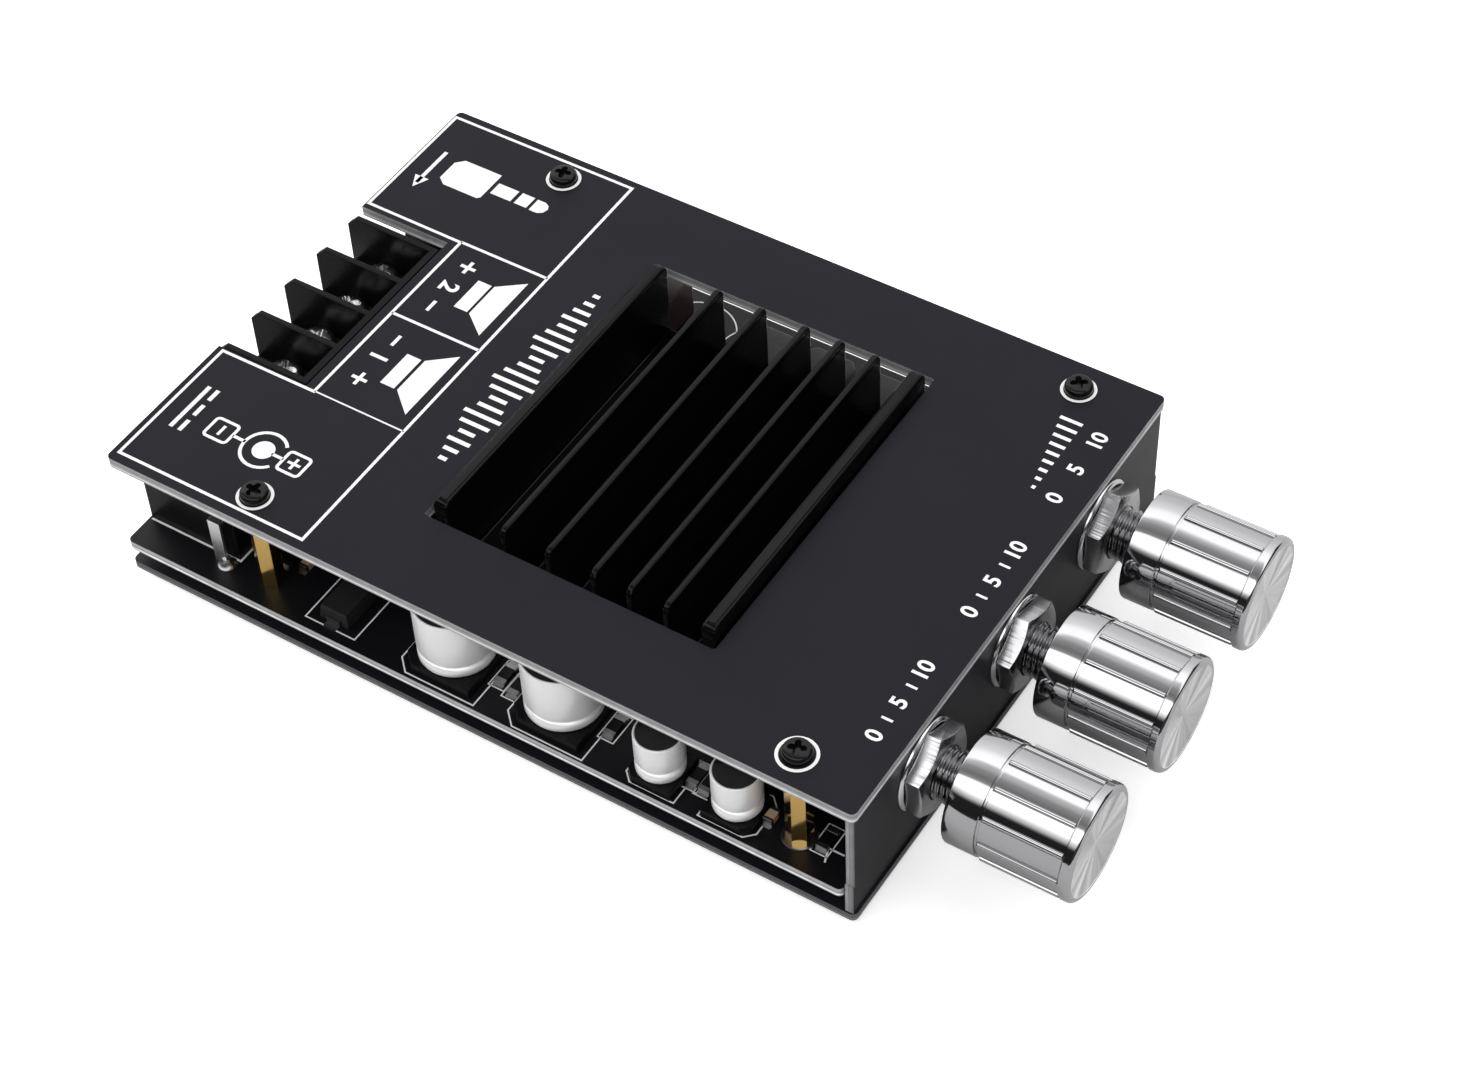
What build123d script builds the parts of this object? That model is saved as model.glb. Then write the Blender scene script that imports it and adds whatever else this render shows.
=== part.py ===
from build123d import *

import os

# Stereo audio amplifier board, in millimetres. +Z is up, the knobs face -Y and the sockets
# face +Y. The origin is at the middle of the object's footprint, on the surface that its four
# lower screw heads stand on.

# Boards
board_length = 109.0
board_width = 76.0
cover_thickness = 1.6
board_thickness = 1.4
base_thickness = 1.2
board_corner_radius = 0.8
upper_gap = 14.0
lower_gap = 2.4
board_to_panel_gap = 0.3

# Corner screws, standoffs and spacers
screw_side_inset = 4.3
screw_front_inset = 10.1
screw_rear_inset = 20.4
screw_shank_radius = 0.95
screw_hole_radius = 1.1
screw_head_radius = 1.85
screw_head_height = 1.3
screw_head_edge = 0.5
screw_grip = 4.0
standoff_flats = 3.0
standoff_bore_radius = 1.0
spacer_radius = 2.0

# Front panel, a little wider at its foot
panel_thickness = 1.2
panel_setback = 0.3
panel_side_inset = 0.5
panel_foot_height = 5.1
panel_foot_step = 0.3

# Heatsink: the fins run from side to side, with their spacings listed from rear to front
heatsink_side_inset = 13.25
heatsink_base = 2.2
heatsink_proud = 2.0
heatsink_front_inset = 27.2
heatsink_side_shift = 0.3
fin_spacings = (9.3, 6.6, 6.6, 5.2, 5.2, 6.0)
outer_fin_thickness = 2.0
inner_fin_thickness = 0.9
outer_fin_tip_radius = 0.7
inner_fin_tip_radius = 0.35
fin_end_radius = 1.3
window_side_clearance = 1.05
window_end_clearance = 0.65
window_corner_radius = 0.4

# Power amplifier chip under the heatsink, and the leads of all the chips
amplifier_length = 15.9
amplifier_width = 11.0
amplifier_height = 3.3
amplifier_lead_count = 12
amplifier_lead_pitch = 1.2
pad_thickness = 0.4
pad_margin = 1.0
lead_width = 0.45
lead_thickness = 0.25
lead_foot = 0.7
lead_reach = 1.6
lead_knee_height = 1.0

# Barrier block for the speaker wires, in a notch of the cover
way_count = 4
way_pitch = 7.0
divider_thickness = 0.9
block_depth = 14.7
block_overhang = 1.0
block_height = 15.2
block_floor_height = 7.0
block_back_wall = 1.0
block_chamfer = 1.4
block_side_shift = -0.3
notch_left_clearance = 0.45
notch_right_clearance = 1.35
notch_front_clearance = 0.5

# Plate and pin under the wire in each way of the block
plate_side_gap = 0.25
terminal_plate_thickness = 0.8
terminal_plate_rear_inset = 3.85
terminal_pin_width = 1.2
terminal_pin_thickness = 0.8
pin_hole_clearance = 0.1
pins_below_board = 1.0

# Clamp plate and clamp screw of each way
clamp_plate_length = 5.6
clamp_plate_thickness = 0.8
clamp_corner = 0.5
clamp_screw_rear_inset = 7.1
clamp_screw_radius = 1.5
clamp_screw_length = 6.4
clamp_head_radius = 2.6
clamp_head_height = 2.0
clamp_head_edge = 0.6
cross_width = 0.7
cross_length = 3.0
cross_depth = 0.9
thread_clearance = 0.05
clamp_hole_clearance = 0.1
screw_well_clearance = 0.4
screw_well_depth = 5.6

# Power socket, a round body behind a square flange
dc_width = 9.0
dc_length = 14.6
dc_axis_height = 6.5
dc_flange_depth = 3.4
dc_side_inset = 4.8
dc_rear_inset = 0.2
dc_bore_radius = 3.2
dc_bore_depth = 10.0
dc_pin_radius = 1.05
dc_pin_recess = 1.0
dc_stem_radius = 0.7
dc_tab_width = 1.9
dc_tab_thickness = 0.4
dc_tab_height = 7.5
dc_tab_reach = 1.6
dc_tab_from_end = 0.9

# Line input socket
aux_side_inset = 11.5
aux_rear_inset = 1.8
aux_width = 8.0
aux_length = 12.0
aux_height = 6.0
aux_axis_height = 3.1
aux_barrel_radius = 2.75
aux_barrel_length = 2.4
aux_bore_radius = 1.8
aux_bore_depth = 13.0
aux_tab_width = 1.4
aux_tab_thickness = 0.3
aux_tab_height = 3.0
aux_tab_spacing = 7.0

# Rotary controls, each a stacked pair of cells behind a plate with a threaded bushing
control_spacing = 21.8
control_axis_height = 7.3
control_width = 9.6
control_below_axis = 6.9
control_above_axis = 4.9
control_plate_thickness = 1.2
control_cell_depth = 4.4
control_cell_inset = 0.2
control_wafer_thickness = 0.6
control_wafer_inset = 0.6
bushing_radius = 3.5
bushing_length = 7.0
bushing_edge = 0.4
bushing_hole_clearance = 0.1
washer_radius = 6.15
washer_thickness = 0.6
nut_flats = 10.5
nut_thickness = 2.2
nut_chamfer = 0.45
nut_turns = (-27.0, -18.0, 28.0)
shaft_radius = 3.0
shaft_clearance = 0.05
shaft_inside = 3.6
shaft_inside_clearance = 0.3
shaft_end_gap = 0.6
control_pin_width = 0.8
control_pin_thickness = 0.3
control_pin_pitch = 2.5

# Knob: a smooth collar, then ribs, then a plain ring and a hollowed end
knob_gap = 0.6
knob_length = 16.7
knob_radius = 7.5
knob_collar_length = 4.3
knob_collar_radius = 7.3
knob_groove_width = 0.3
knob_groove_radius = 7.05
knob_rib_count = 12
knob_rib_width = 1.0
knob_rib_height = 0.28
knob_ring_width = 0.9
knob_chamfer = 0.6
knob_rim_width = 0.3
knob_step = 0.3
knob_dish = 0.35
knob_bore_depth = 11.0
knob_bore_clearance = 0.02

# Electrolytic cans, with their distances from the board's left edge and front edge
large_can_radius = 5.05
large_can_height = 9.3
large_can_base = 10.4
large_can_base_corner = 1.7
large_can_places = ((6.3, 60.9), (6.1, 44.7))
small_can_radius = 3.15
small_can_height = 6.3
small_can_base = 6.6
small_can_base_corner = 1.1
small_can_places = ((3.9, 29.3), (3.9, 18.4))
can_base_height = 1.4
can_groove_height = 1.3
can_groove_width = 0.7
can_groove_depth = 0.3
can_edge = 0.4

# Output inductors beside the heatsink, with their distances from the front edge
inductor_to_heatsink = 0.8
inductor_size = 7.3
inductor_height = 4.8
inductor_corner = 1.0
inductor_top_edge = 0.4
inductor_rows = (27.5, 36.5, 45.5, 54.5)

# Film capacitors: one pair behind the volume control, one between inductors and standoff
film_length = 7.2
film_width = 3.0
film_height = 6.5
film_edge = 0.4
film_spacing = 4.8
film_side_inset = 7.0
film_front_inset = 19.2

# Rectifier diode on the left, about halfway from the cans to the rear standoff
diode_length = 6.2
diode_width = 4.5
diode_height = 2.2
diode_lead_width = 2.2
diode_side_inset = 5.5
diode_shift = 0.8

# Preamplifier chips behind the controls
preamp_length = 4.9
preamp_width = 3.9
preamp_height = 1.5
preamp_lead_count = 4
preamp_lead_pitch = 1.27
preamp_spacing = 21.8
preamp_front_inset = 19.5

# Voltage regulator between the heatsink and the sockets
regulator_length = 6.5
regulator_width = 5.6
regulator_height = 2.2
regulator_lead_width = 0.8
regulator_lead_pitch = 2.3
regulator_tab_width = 5.0
regulator_side_inset = 19.0
regulator_rear_inset = 24.5
mould_draft = 7.0

# Chip parts, with their distances from the left edge and from the front or the rear edge
resistor_size = (3.2, 1.6, 0.6)
resistor_front_places = (
    (6.5, 53.9),
    (5.8, 51.5),
    (6.6, 37.8),
    (5.5, 25.1),
    (5.3, 23.2),
    (5.4, 6.9),
)
resistor_rear_places = ((8.3, 20.4),)
ceramic_size = (2.0, 1.3, 1.2)
ceramic_front_places = (
    (4.6, 14.2),
    (20.0, 14.5),
    (26.0, 14.5),
    (44.0, 14.5),
    (50.0, 14.5),
)
ceramic_rear_places = ((8.2, 23.0), (30.0, 33.0), (46.0, 33.0))

# Levels, from the lower screw heads upwards
base_bottom = screw_head_height
base_top = base_bottom + base_thickness
board_bottom = base_top + lower_gap
board_top = board_bottom + board_thickness
cover_bottom = board_top + upper_gap
cover_top = cover_bottom + cover_thickness

# Places from front to rear, with the whole object centred on Y = 0
bushing_reach = bushing_length - panel_thickness
knob_back = bushing_reach + knob_gap
knob_front = knob_back + knob_length
front_reach = knob_front - panel_setback
front_edge = (front_reach - board_length - block_overhang) / 2
rear_edge = front_edge + board_length
board_middle = (front_edge + rear_edge) / 2
panel_face = front_edge + panel_setback
panel_back = panel_face + panel_thickness
board_front = panel_back + board_to_panel_gap
left_edge = -board_width / 2
right_edge = board_width / 2

# Corner screw places
screw_x = right_edge - screw_side_inset
screw_places = [
    (-screw_x, front_edge + screw_front_inset),
    (screw_x, front_edge + screw_front_inset),
    (-screw_x, rear_edge - screw_rear_inset),
    (screw_x, rear_edge - screw_rear_inset),
]

# Heatsink, its pad and its chip
heatsink_width = board_width - 2 * heatsink_side_inset
amplifier_top = board_top + amplifier_height
heatsink_bottom = amplifier_top + pad_thickness
heatsink_height = cover_top + heatsink_proud - heatsink_bottom
heatsink_length = sum(fin_spacings) + outer_fin_thickness
heatsink_front = front_edge + heatsink_front_inset
heatsink_rear = heatsink_front + heatsink_length
heatsink_left = heatsink_side_shift - heatsink_width / 2
heatsink_centre = (heatsink_side_shift, (heatsink_front + heatsink_rear) / 2)

# Barrier block and its four ways, from left to right
block_width = way_count * way_pitch + divider_thickness
block_left = block_side_shift - block_width / 2
block_rear = rear_edge + block_overhang
block_front = block_rear - block_depth
block_floor = board_top + block_floor_height
way_width = way_pitch - divider_thickness
way_places = [block_side_shift + (n - (way_count - 1) / 2) * way_pitch for n in range(way_count)]
plate_width = way_width - 2 * plate_side_gap
terminal_plate_front = block_front + block_back_wall + plate_side_gap
terminal_plate_top = block_floor + terminal_plate_thickness
terminal_plate_length = block_rear - terminal_plate_rear_inset - terminal_plate_front
terminal_pin_y = terminal_plate_front + terminal_pin_thickness / 2
terminal_pin_places = [(x, terminal_pin_y) for x in way_places]
clamp_screw_y = block_rear - clamp_screw_rear_inset
clamp_screw_places = [(x, clamp_screw_y) for x in way_places]
clamp_plate_top = terminal_plate_top + clamp_plate_thickness
pin_bottom = board_bottom - pins_below_board

# Sockets
dc_x = left_edge + dc_side_inset + dc_width / 2
dc_rear = rear_edge - dc_rear_inset
dc_end = dc_rear - dc_length
dc_axis = board_top + dc_axis_height
dc_flange_height = dc_axis_height + dc_width / 2
aux_x = right_edge - aux_side_inset
aux_rear = rear_edge - aux_rear_inset

# Controls, from left to right
control_names = ("treble", "bass", "volume")
control_places = [(n - 1) * control_spacing for n in range(len(control_names))]
control_axis = board_top + control_axis_height
control_bottom = control_axis - control_below_axis
control_height = control_below_axis + control_above_axis
cells_front = panel_back + control_plate_thickness
cell_step = control_cell_depth + control_wafer_thickness
wafer_ys = [cells_front + control_cell_depth + control_wafer_thickness / 2 + n * cell_step for n in range(2)]
control_pin_places = [
    (x + n * control_pin_pitch, y) for x in control_places for y in wafer_ys for n in (-1, 0, 1)
]


def save(piece, name):
    """Label a finished piece and write it to its own file."""
    piece.part.label = name
    export_step(piece.part, f"parts/{name}.step")


def facing_front(x, distance=0.0):
    """A plane across a control's axis, at a distance in front of the panel's face."""
    return Plane(origin=(x, panel_face - distance, control_axis), x_dir=(1, 0, 0), z_dir=(0, -1, 0))


def along_control(x):
    """A plane through a control's axis: local X runs forwards from the panel's face."""
    return Plane(origin=(x, panel_face, control_axis), x_dir=(0, -1, 0), z_dir=(-1, 0, 0))


def facing_rear(x, y, height):
    """A plane that looks backwards."""
    return Plane(origin=(x, y, height), x_dir=(-1, 0, 0), z_dir=(0, 1, 0))


def front_left(places):
    """Board places from their distances to the left edge and the front edge."""
    return [(left_edge + side, front_edge + front) for side, front in places]


def rear_left(places):
    """Board places from their distances to the left edge and the rear edge."""
    return [(left_edge + side, rear_edge - rear) for side, rear in places]


def add_leads(centre, count, pitch, chip_width):
    """Add the bent leads that leave a chip's front and rear sides and rest on the board."""
    foot_span = chip_width + 2 * lead_reach
    for span, height in ((foot_span, lead_thickness), (foot_span - 2 * lead_foot, lead_knee_height)):
        with BuildSketch(Plane.XY.offset(board_top)) as strips:
            with Locations(centre):
                with GridLocations(pitch, pitch, count, 1):
                    Rectangle(lead_width, span)
        extrude(strips.sketch, amount=height)


def add_chip_body(centre, length, width, height):
    """Add a moulded body whose sides slope in towards its top."""
    with BuildSketch(Plane.XY.offset(board_top)) as footprint:
        with Locations(centre):
            Rectangle(length, width)
    extrude(footprint.sketch, amount=height, taper=mould_draft)


os.makedirs("parts", exist_ok=True)

# Cover plate, with the heatsink's window and the notch for the barrier block
with BuildPart() as cover_plate:
    with BuildSketch(Plane.XY.offset(cover_bottom)):
        with Locations((0, board_middle)):
            RectangleRounded(board_width, board_length, board_corner_radius)
        with Locations(heatsink_centre):
            RectangleRounded(
                heatsink_width + 2 * window_side_clearance,
                heatsink_length + 2 * window_end_clearance,
                window_corner_radius,
                mode=Mode.SUBTRACT,
            )
        with Locations((block_left - notch_left_clearance, rear_edge)):
            Rectangle(
                block_width + notch_left_clearance + notch_right_clearance,
                2 * (rear_edge - block_front + notch_front_clearance),
                align=(Align.MIN, Align.CENTER),
                mode=Mode.SUBTRACT,
            )
        with Locations(*screw_places):
            Circle(screw_hole_radius, mode=Mode.SUBTRACT)
    extrude(amount=cover_thickness)
save(cover_plate, "cover_plate")

# Base plate
with BuildPart() as base_plate:
    with BuildSketch(Plane.XY.offset(base_bottom)):
        with Locations((0, board_middle)):
            RectangleRounded(board_width, board_length, board_corner_radius)
        with Locations(*screw_places):
            Circle(screw_hole_radius, mode=Mode.SUBTRACT)
    extrude(amount=base_thickness)
save(base_plate, "base_plate")

# Main board, drilled for the corner screws and slotted for the pins that pass through it
with BuildPart() as main_board:
    with BuildSketch(Plane.XY.offset(board_bottom)):
        with Locations((0, (board_front + rear_edge) / 2)):
            RectangleRounded(board_width, rear_edge - board_front, board_corner_radius)
        with Locations(*screw_places):
            Circle(screw_hole_radius, mode=Mode.SUBTRACT)
        with Locations(*terminal_pin_places):
            Rectangle(
                terminal_pin_width + 2 * pin_hole_clearance,
                terminal_pin_thickness + 2 * pin_hole_clearance,
                mode=Mode.SUBTRACT,
            )
        with Locations(*control_pin_places):
            Rectangle(
                control_pin_width + 2 * pin_hole_clearance,
                control_pin_thickness + 2 * pin_hole_clearance,
                mode=Mode.SUBTRACT,
            )
    extrude(amount=board_thickness)
save(main_board, "main_board")

# Front panel, with a hole for each control's bushing
panel_width = board_width - 2 * panel_side_inset
with BuildPart() as front_panel:
    with BuildSketch(Plane(origin=(0, panel_face, base_top), x_dir=(1, 0, 0), z_dir=(0, -1, 0))):
        Rectangle(panel_width, cover_bottom - base_top, align=(Align.CENTER, Align.MIN))
        Rectangle(
            panel_width + 2 * panel_foot_step,
            panel_foot_height,
            align=(Align.CENTER, Align.MIN),
        )
        with Locations(*[(x, control_axis - base_top) for x in control_places]):
            Circle(bushing_radius + bushing_hole_clearance, mode=Mode.SUBTRACT)
    extrude(amount=-panel_thickness)
save(front_panel, "front_panel")

# Hex standoffs between the main board and the cover
with BuildPart() as standoffs:
    with BuildSketch(Plane.XY.offset(board_top)):
        with Locations(*screw_places):
            RegularPolygon(standoff_flats / 2, 6, major_radius=False)
            Circle(standoff_bore_radius, mode=Mode.SUBTRACT)
    extrude(amount=upper_gap)
save(standoffs, "standoffs")

# Round spacers between the base plate and the main board
with BuildPart() as lower_spacers:
    with BuildSketch(Plane.XY.offset(base_top)):
        with Locations(*screw_places):
            Circle(spacer_radius)
            Circle(screw_hole_radius, mode=Mode.SUBTRACT)
    extrude(amount=lower_gap)
save(lower_spacers, "lower_spacers")

# Pan head screws through the cover into the standoffs
with BuildPart() as cover_screws:
    with BuildSketch(Plane.XY.offset(cover_top)):
        with Locations(*screw_places):
            Circle(screw_head_radius)
    extrude(amount=screw_head_height)
    chamfer(cover_screws.edges().group_by(Axis.Z)[-1], screw_head_edge)
    with BuildSketch(Plane.XY.offset(cover_top)):
        with Locations(*screw_places):
            Circle(screw_shank_radius)
    extrude(amount=-(cover_thickness + screw_grip))
save(cover_screws, "cover_screws")

# Pan head screws through the base plate, the spacers and the main board; their heads are feet
with BuildPart() as base_screws:
    with BuildSketch(Plane.XY.offset(base_bottom)):
        with Locations(*screw_places):
            Circle(screw_head_radius)
    extrude(amount=-screw_head_height)
    chamfer(base_screws.edges().group_by(Axis.Z)[0], screw_head_edge)
    with BuildSketch(Plane.XY.offset(base_bottom)):
        with Locations(*screw_places):
            Circle(screw_shank_radius)
    extrude(amount=board_top + screw_grip - base_bottom)
save(base_screws, "base_screws")

# Heatsink: an extrusion with rounded fin tips, cut to length with rounded upper corners
rearmost_fin = heatsink_rear - outer_fin_thickness / 2
fin_places = [rearmost_fin - sum(fin_spacings[:n]) for n in range(len(fin_spacings) + 1)]
with BuildPart() as heatsink:
    with BuildSketch(Plane.YZ.offset(heatsink_left)) as fin_profile:
        with Locations((heatsink_front, heatsink_bottom)):
            Rectangle(heatsink_length, heatsink_base, align=(Align.MIN, Align.MIN))
        with Locations(*[(y, heatsink_bottom) for y in (fin_places[0], fin_places[-1])]):
            Rectangle(outer_fin_thickness, heatsink_height, align=(Align.CENTER, Align.MIN))
        with Locations(*[(y, heatsink_bottom) for y in fin_places[1:-1]]):
            Rectangle(inner_fin_thickness, heatsink_height, align=(Align.CENTER, Align.MIN))
        fin_tips = fin_profile.vertices().group_by(Axis.Y)[-1].sort_by(Axis.X)
        fillet(fin_tips[2:-2], inner_fin_tip_radius)
        outer_tips = fin_profile.vertices().group_by(Axis.Y)[-1].sort_by(Axis.X)
        fillet(outer_tips[:2] + outer_tips[-2:], outer_fin_tip_radius)
    extrude(amount=heatsink_width)
    with BuildSketch(Plane.XZ.offset(-heatsink_rear)) as side_profile:
        with Locations((heatsink_side_shift, heatsink_bottom)):
            Rectangle(heatsink_width, heatsink_height, align=(Align.CENTER, Align.MIN))
        fillet(side_profile.vertices().group_by(Axis.Y)[-1], fin_end_radius)
    extrude(amount=heatsink_length, mode=Mode.INTERSECT)
save(heatsink, "heatsink")

# Thermal pad
with BuildPart() as thermal_pad:
    with BuildSketch(Plane.XY.offset(amplifier_top)):
        with Locations(heatsink_centre):
            Rectangle(amplifier_length - 2 * pad_margin, amplifier_width - 2 * pad_margin)
    extrude(amount=pad_thickness)
save(thermal_pad, "thermal_pad")

# Power amplifier chip
with BuildPart() as amplifier_chip:
    add_chip_body(heatsink_centre, amplifier_length, amplifier_width, amplifier_height)
    add_leads(heatsink_centre, amplifier_lead_count, amplifier_lead_pitch, amplifier_width)
save(amplifier_chip, "amplifier_chip")

# Barrier block: a floor, a wall at the back of the ways and chamfered dividers between them
with BuildPart() as terminal_block:
    with BuildSketch(Plane.YZ.offset(block_left)) as divider_profile:
        with Locations((block_front, board_top)):
            Rectangle(block_depth, block_height, align=(Align.MIN, Align.MIN))
        chamfer(divider_profile.vertices().group_by(Axis.Y)[-1].sort_by(Axis.X)[-1], block_chamfer)
    extrude(amount=block_width)
    with BuildSketch(Plane.XY.offset(block_floor)):
        with Locations(*[(x, block_front + block_back_wall) for x in way_places]):
            Rectangle(way_width, block_depth, align=(Align.CENTER, Align.MIN))
    extrude(amount=block_height, mode=Mode.SUBTRACT)
    with BuildSketch(Plane.XY.offset(block_floor)):
        with Locations(*clamp_screw_places):
            Circle(clamp_screw_radius + screw_well_clearance)
    extrude(amount=-screw_well_depth, mode=Mode.SUBTRACT)
    with BuildSketch(Plane.XY.offset(block_floor)):
        with Locations(*terminal_pin_places):
            Rectangle(
                terminal_pin_width + 2 * pin_hole_clearance,
                terminal_pin_thickness + 2 * pin_hole_clearance,
            )
    extrude(amount=-block_floor_height, mode=Mode.SUBTRACT)
save(terminal_block, "terminal_block")

# Tapped terminal plates, each with its pin through the block and the main board
with BuildPart() as terminal_plates:
    with BuildSketch(Plane.XY.offset(block_floor)):
        with Locations(*[(x, terminal_plate_front) for x in way_places]):
            Rectangle(plate_width, terminal_plate_length, align=(Align.CENTER, Align.MIN))
        with Locations(*clamp_screw_places):
            Circle(clamp_screw_radius + thread_clearance, mode=Mode.SUBTRACT)
    extrude(amount=terminal_plate_thickness)
    with BuildSketch(Plane.XY.offset(block_floor)):
        with Locations(*terminal_pin_places):
            Rectangle(terminal_pin_width, terminal_pin_thickness)
    extrude(amount=pin_bottom - block_floor)
save(terminal_plates, "terminal_plates")

# Clamp plate and clamp screw of each way
for number, x in enumerate(way_places, start=1):
    with BuildPart() as clamp_plate:
        with BuildSketch(Plane.XY.offset(terminal_plate_top)) as plate_outline:
            with Locations((x, clamp_screw_y)):
                Rectangle(plate_width, clamp_plate_length)
                chamfer(plate_outline.vertices(), clamp_corner)
                Circle(clamp_screw_radius + clamp_hole_clearance, mode=Mode.SUBTRACT)
        extrude(amount=clamp_plate_thickness)
    save(clamp_plate, f"clamp_plate_{number}")

    with BuildPart() as terminal_screw:
        with BuildSketch(Plane.XY.offset(clamp_plate_top)):
            with Locations((x, clamp_screw_y)):
                Circle(clamp_head_radius)
        extrude(amount=clamp_head_height)
        chamfer(terminal_screw.edges().group_by(Axis.Z)[-1], clamp_head_edge)
        with BuildSketch(Plane.XY.offset(clamp_plate_top)):
            with Locations((x, clamp_screw_y)):
                Circle(clamp_screw_radius)
        extrude(amount=-clamp_screw_length)
        with BuildSketch(Plane.XY.offset(clamp_plate_top + clamp_head_height)):
            with Locations((x, clamp_screw_y)):
                Rectangle(cross_length, cross_width)
                Rectangle(cross_width, cross_length)
        extrude(amount=-cross_depth, mode=Mode.SUBTRACT)
    save(terminal_screw, f"terminal_screw_{number}")

# Power socket housing
with BuildPart() as dc_jack_housing:
    with BuildSketch(facing_rear(dc_x, dc_rear, board_top)):
        Rectangle(dc_width, dc_axis_height, align=(Align.CENTER, Align.MIN))
        with Locations((0, dc_axis_height)):
            Circle(dc_width / 2)
    extrude(amount=-dc_length)
    with BuildSketch(facing_rear(dc_x, dc_rear, board_top)):
        Rectangle(dc_width, dc_flange_height, align=(Align.CENTER, Align.MIN))
    extrude(amount=-dc_flange_depth)
    with BuildSketch(facing_rear(dc_x, dc_rear, dc_axis)):
        Circle(dc_bore_radius)
    extrude(amount=-dc_bore_depth, mode=Mode.SUBTRACT)
    with BuildSketch(facing_rear(dc_x, dc_rear, dc_axis)):
        Circle(dc_stem_radius)
    extrude(amount=-dc_length, mode=Mode.SUBTRACT)
save(dc_jack_housing, "dc_jack_housing")

# Power socket pin, on a thinner stem through the housing's inner wall
with BuildPart() as dc_jack_pin:
    with BuildSketch(facing_rear(dc_x, dc_rear - dc_pin_recess, dc_axis)):
        Circle(dc_pin_radius)
    extrude(amount=dc_pin_recess - dc_bore_depth)
    with BuildSketch(facing_rear(dc_x, dc_rear - dc_bore_depth, dc_axis)):
        Circle(dc_stem_radius)
    extrude(amount=dc_bore_depth - dc_length)
save(dc_jack_pin, "dc_jack_pin")

# Power socket tabs: one on the end of the stem and a bent one beside the housing
dc_tab_x = dc_x - dc_width / 2 - dc_tab_reach
dc_tab_y = dc_end + dc_tab_from_end + dc_tab_width / 2
with BuildPart() as dc_jack_tabs:
    with BuildSketch(facing_rear(dc_x, dc_end, board_top)):
        Rectangle(dc_tab_width, dc_tab_height, align=(Align.CENTER, Align.MIN))
    extrude(amount=-dc_tab_thickness)
    with BuildSketch(facing_rear(dc_tab_x, dc_tab_y + dc_tab_width / 2, board_top)):
        Rectangle(dc_tab_thickness, dc_tab_height, align=(Align.MAX, Align.MIN))
        with Locations((0, dc_tab_height)):
            Rectangle(dc_tab_reach, dc_tab_thickness, align=(Align.MAX, Align.MAX))
    extrude(amount=-dc_tab_width)
save(dc_jack_tabs, "dc_jack_tabs")

# Line input socket, with a barrel towards the rear
with BuildPart() as aux_jack_housing:
    with BuildSketch(facing_rear(aux_x, aux_rear, board_top)):
        Rectangle(aux_width, aux_height, align=(Align.CENTER, Align.MIN))
    extrude(amount=-aux_length)
    with BuildSketch(facing_rear(aux_x, aux_rear, board_top + aux_axis_height)):
        Circle(aux_barrel_radius)
    extrude(amount=aux_barrel_length)
    with BuildSketch(facing_rear(aux_x, aux_rear + aux_barrel_length, board_top + aux_axis_height)):
        Circle(aux_bore_radius)
    extrude(amount=-aux_bore_depth, mode=Mode.SUBTRACT)
save(aux_jack_housing, "aux_jack_housing")

# Solder tabs on both sides of the line input socket
aux_tab_gap = (aux_width + aux_tab_thickness) / 2
with BuildPart() as aux_jack_tabs:
    with BuildSketch(Plane.XY.offset(board_top)):
        with Locations((aux_x, aux_rear - aux_length / 2)):
            with GridLocations(2 * aux_tab_gap, aux_tab_spacing, 2, 2):
                Rectangle(aux_tab_thickness, aux_tab_width)
    extrude(amount=aux_tab_height)
save(aux_jack_tabs, "aux_jack_tabs")

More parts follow.
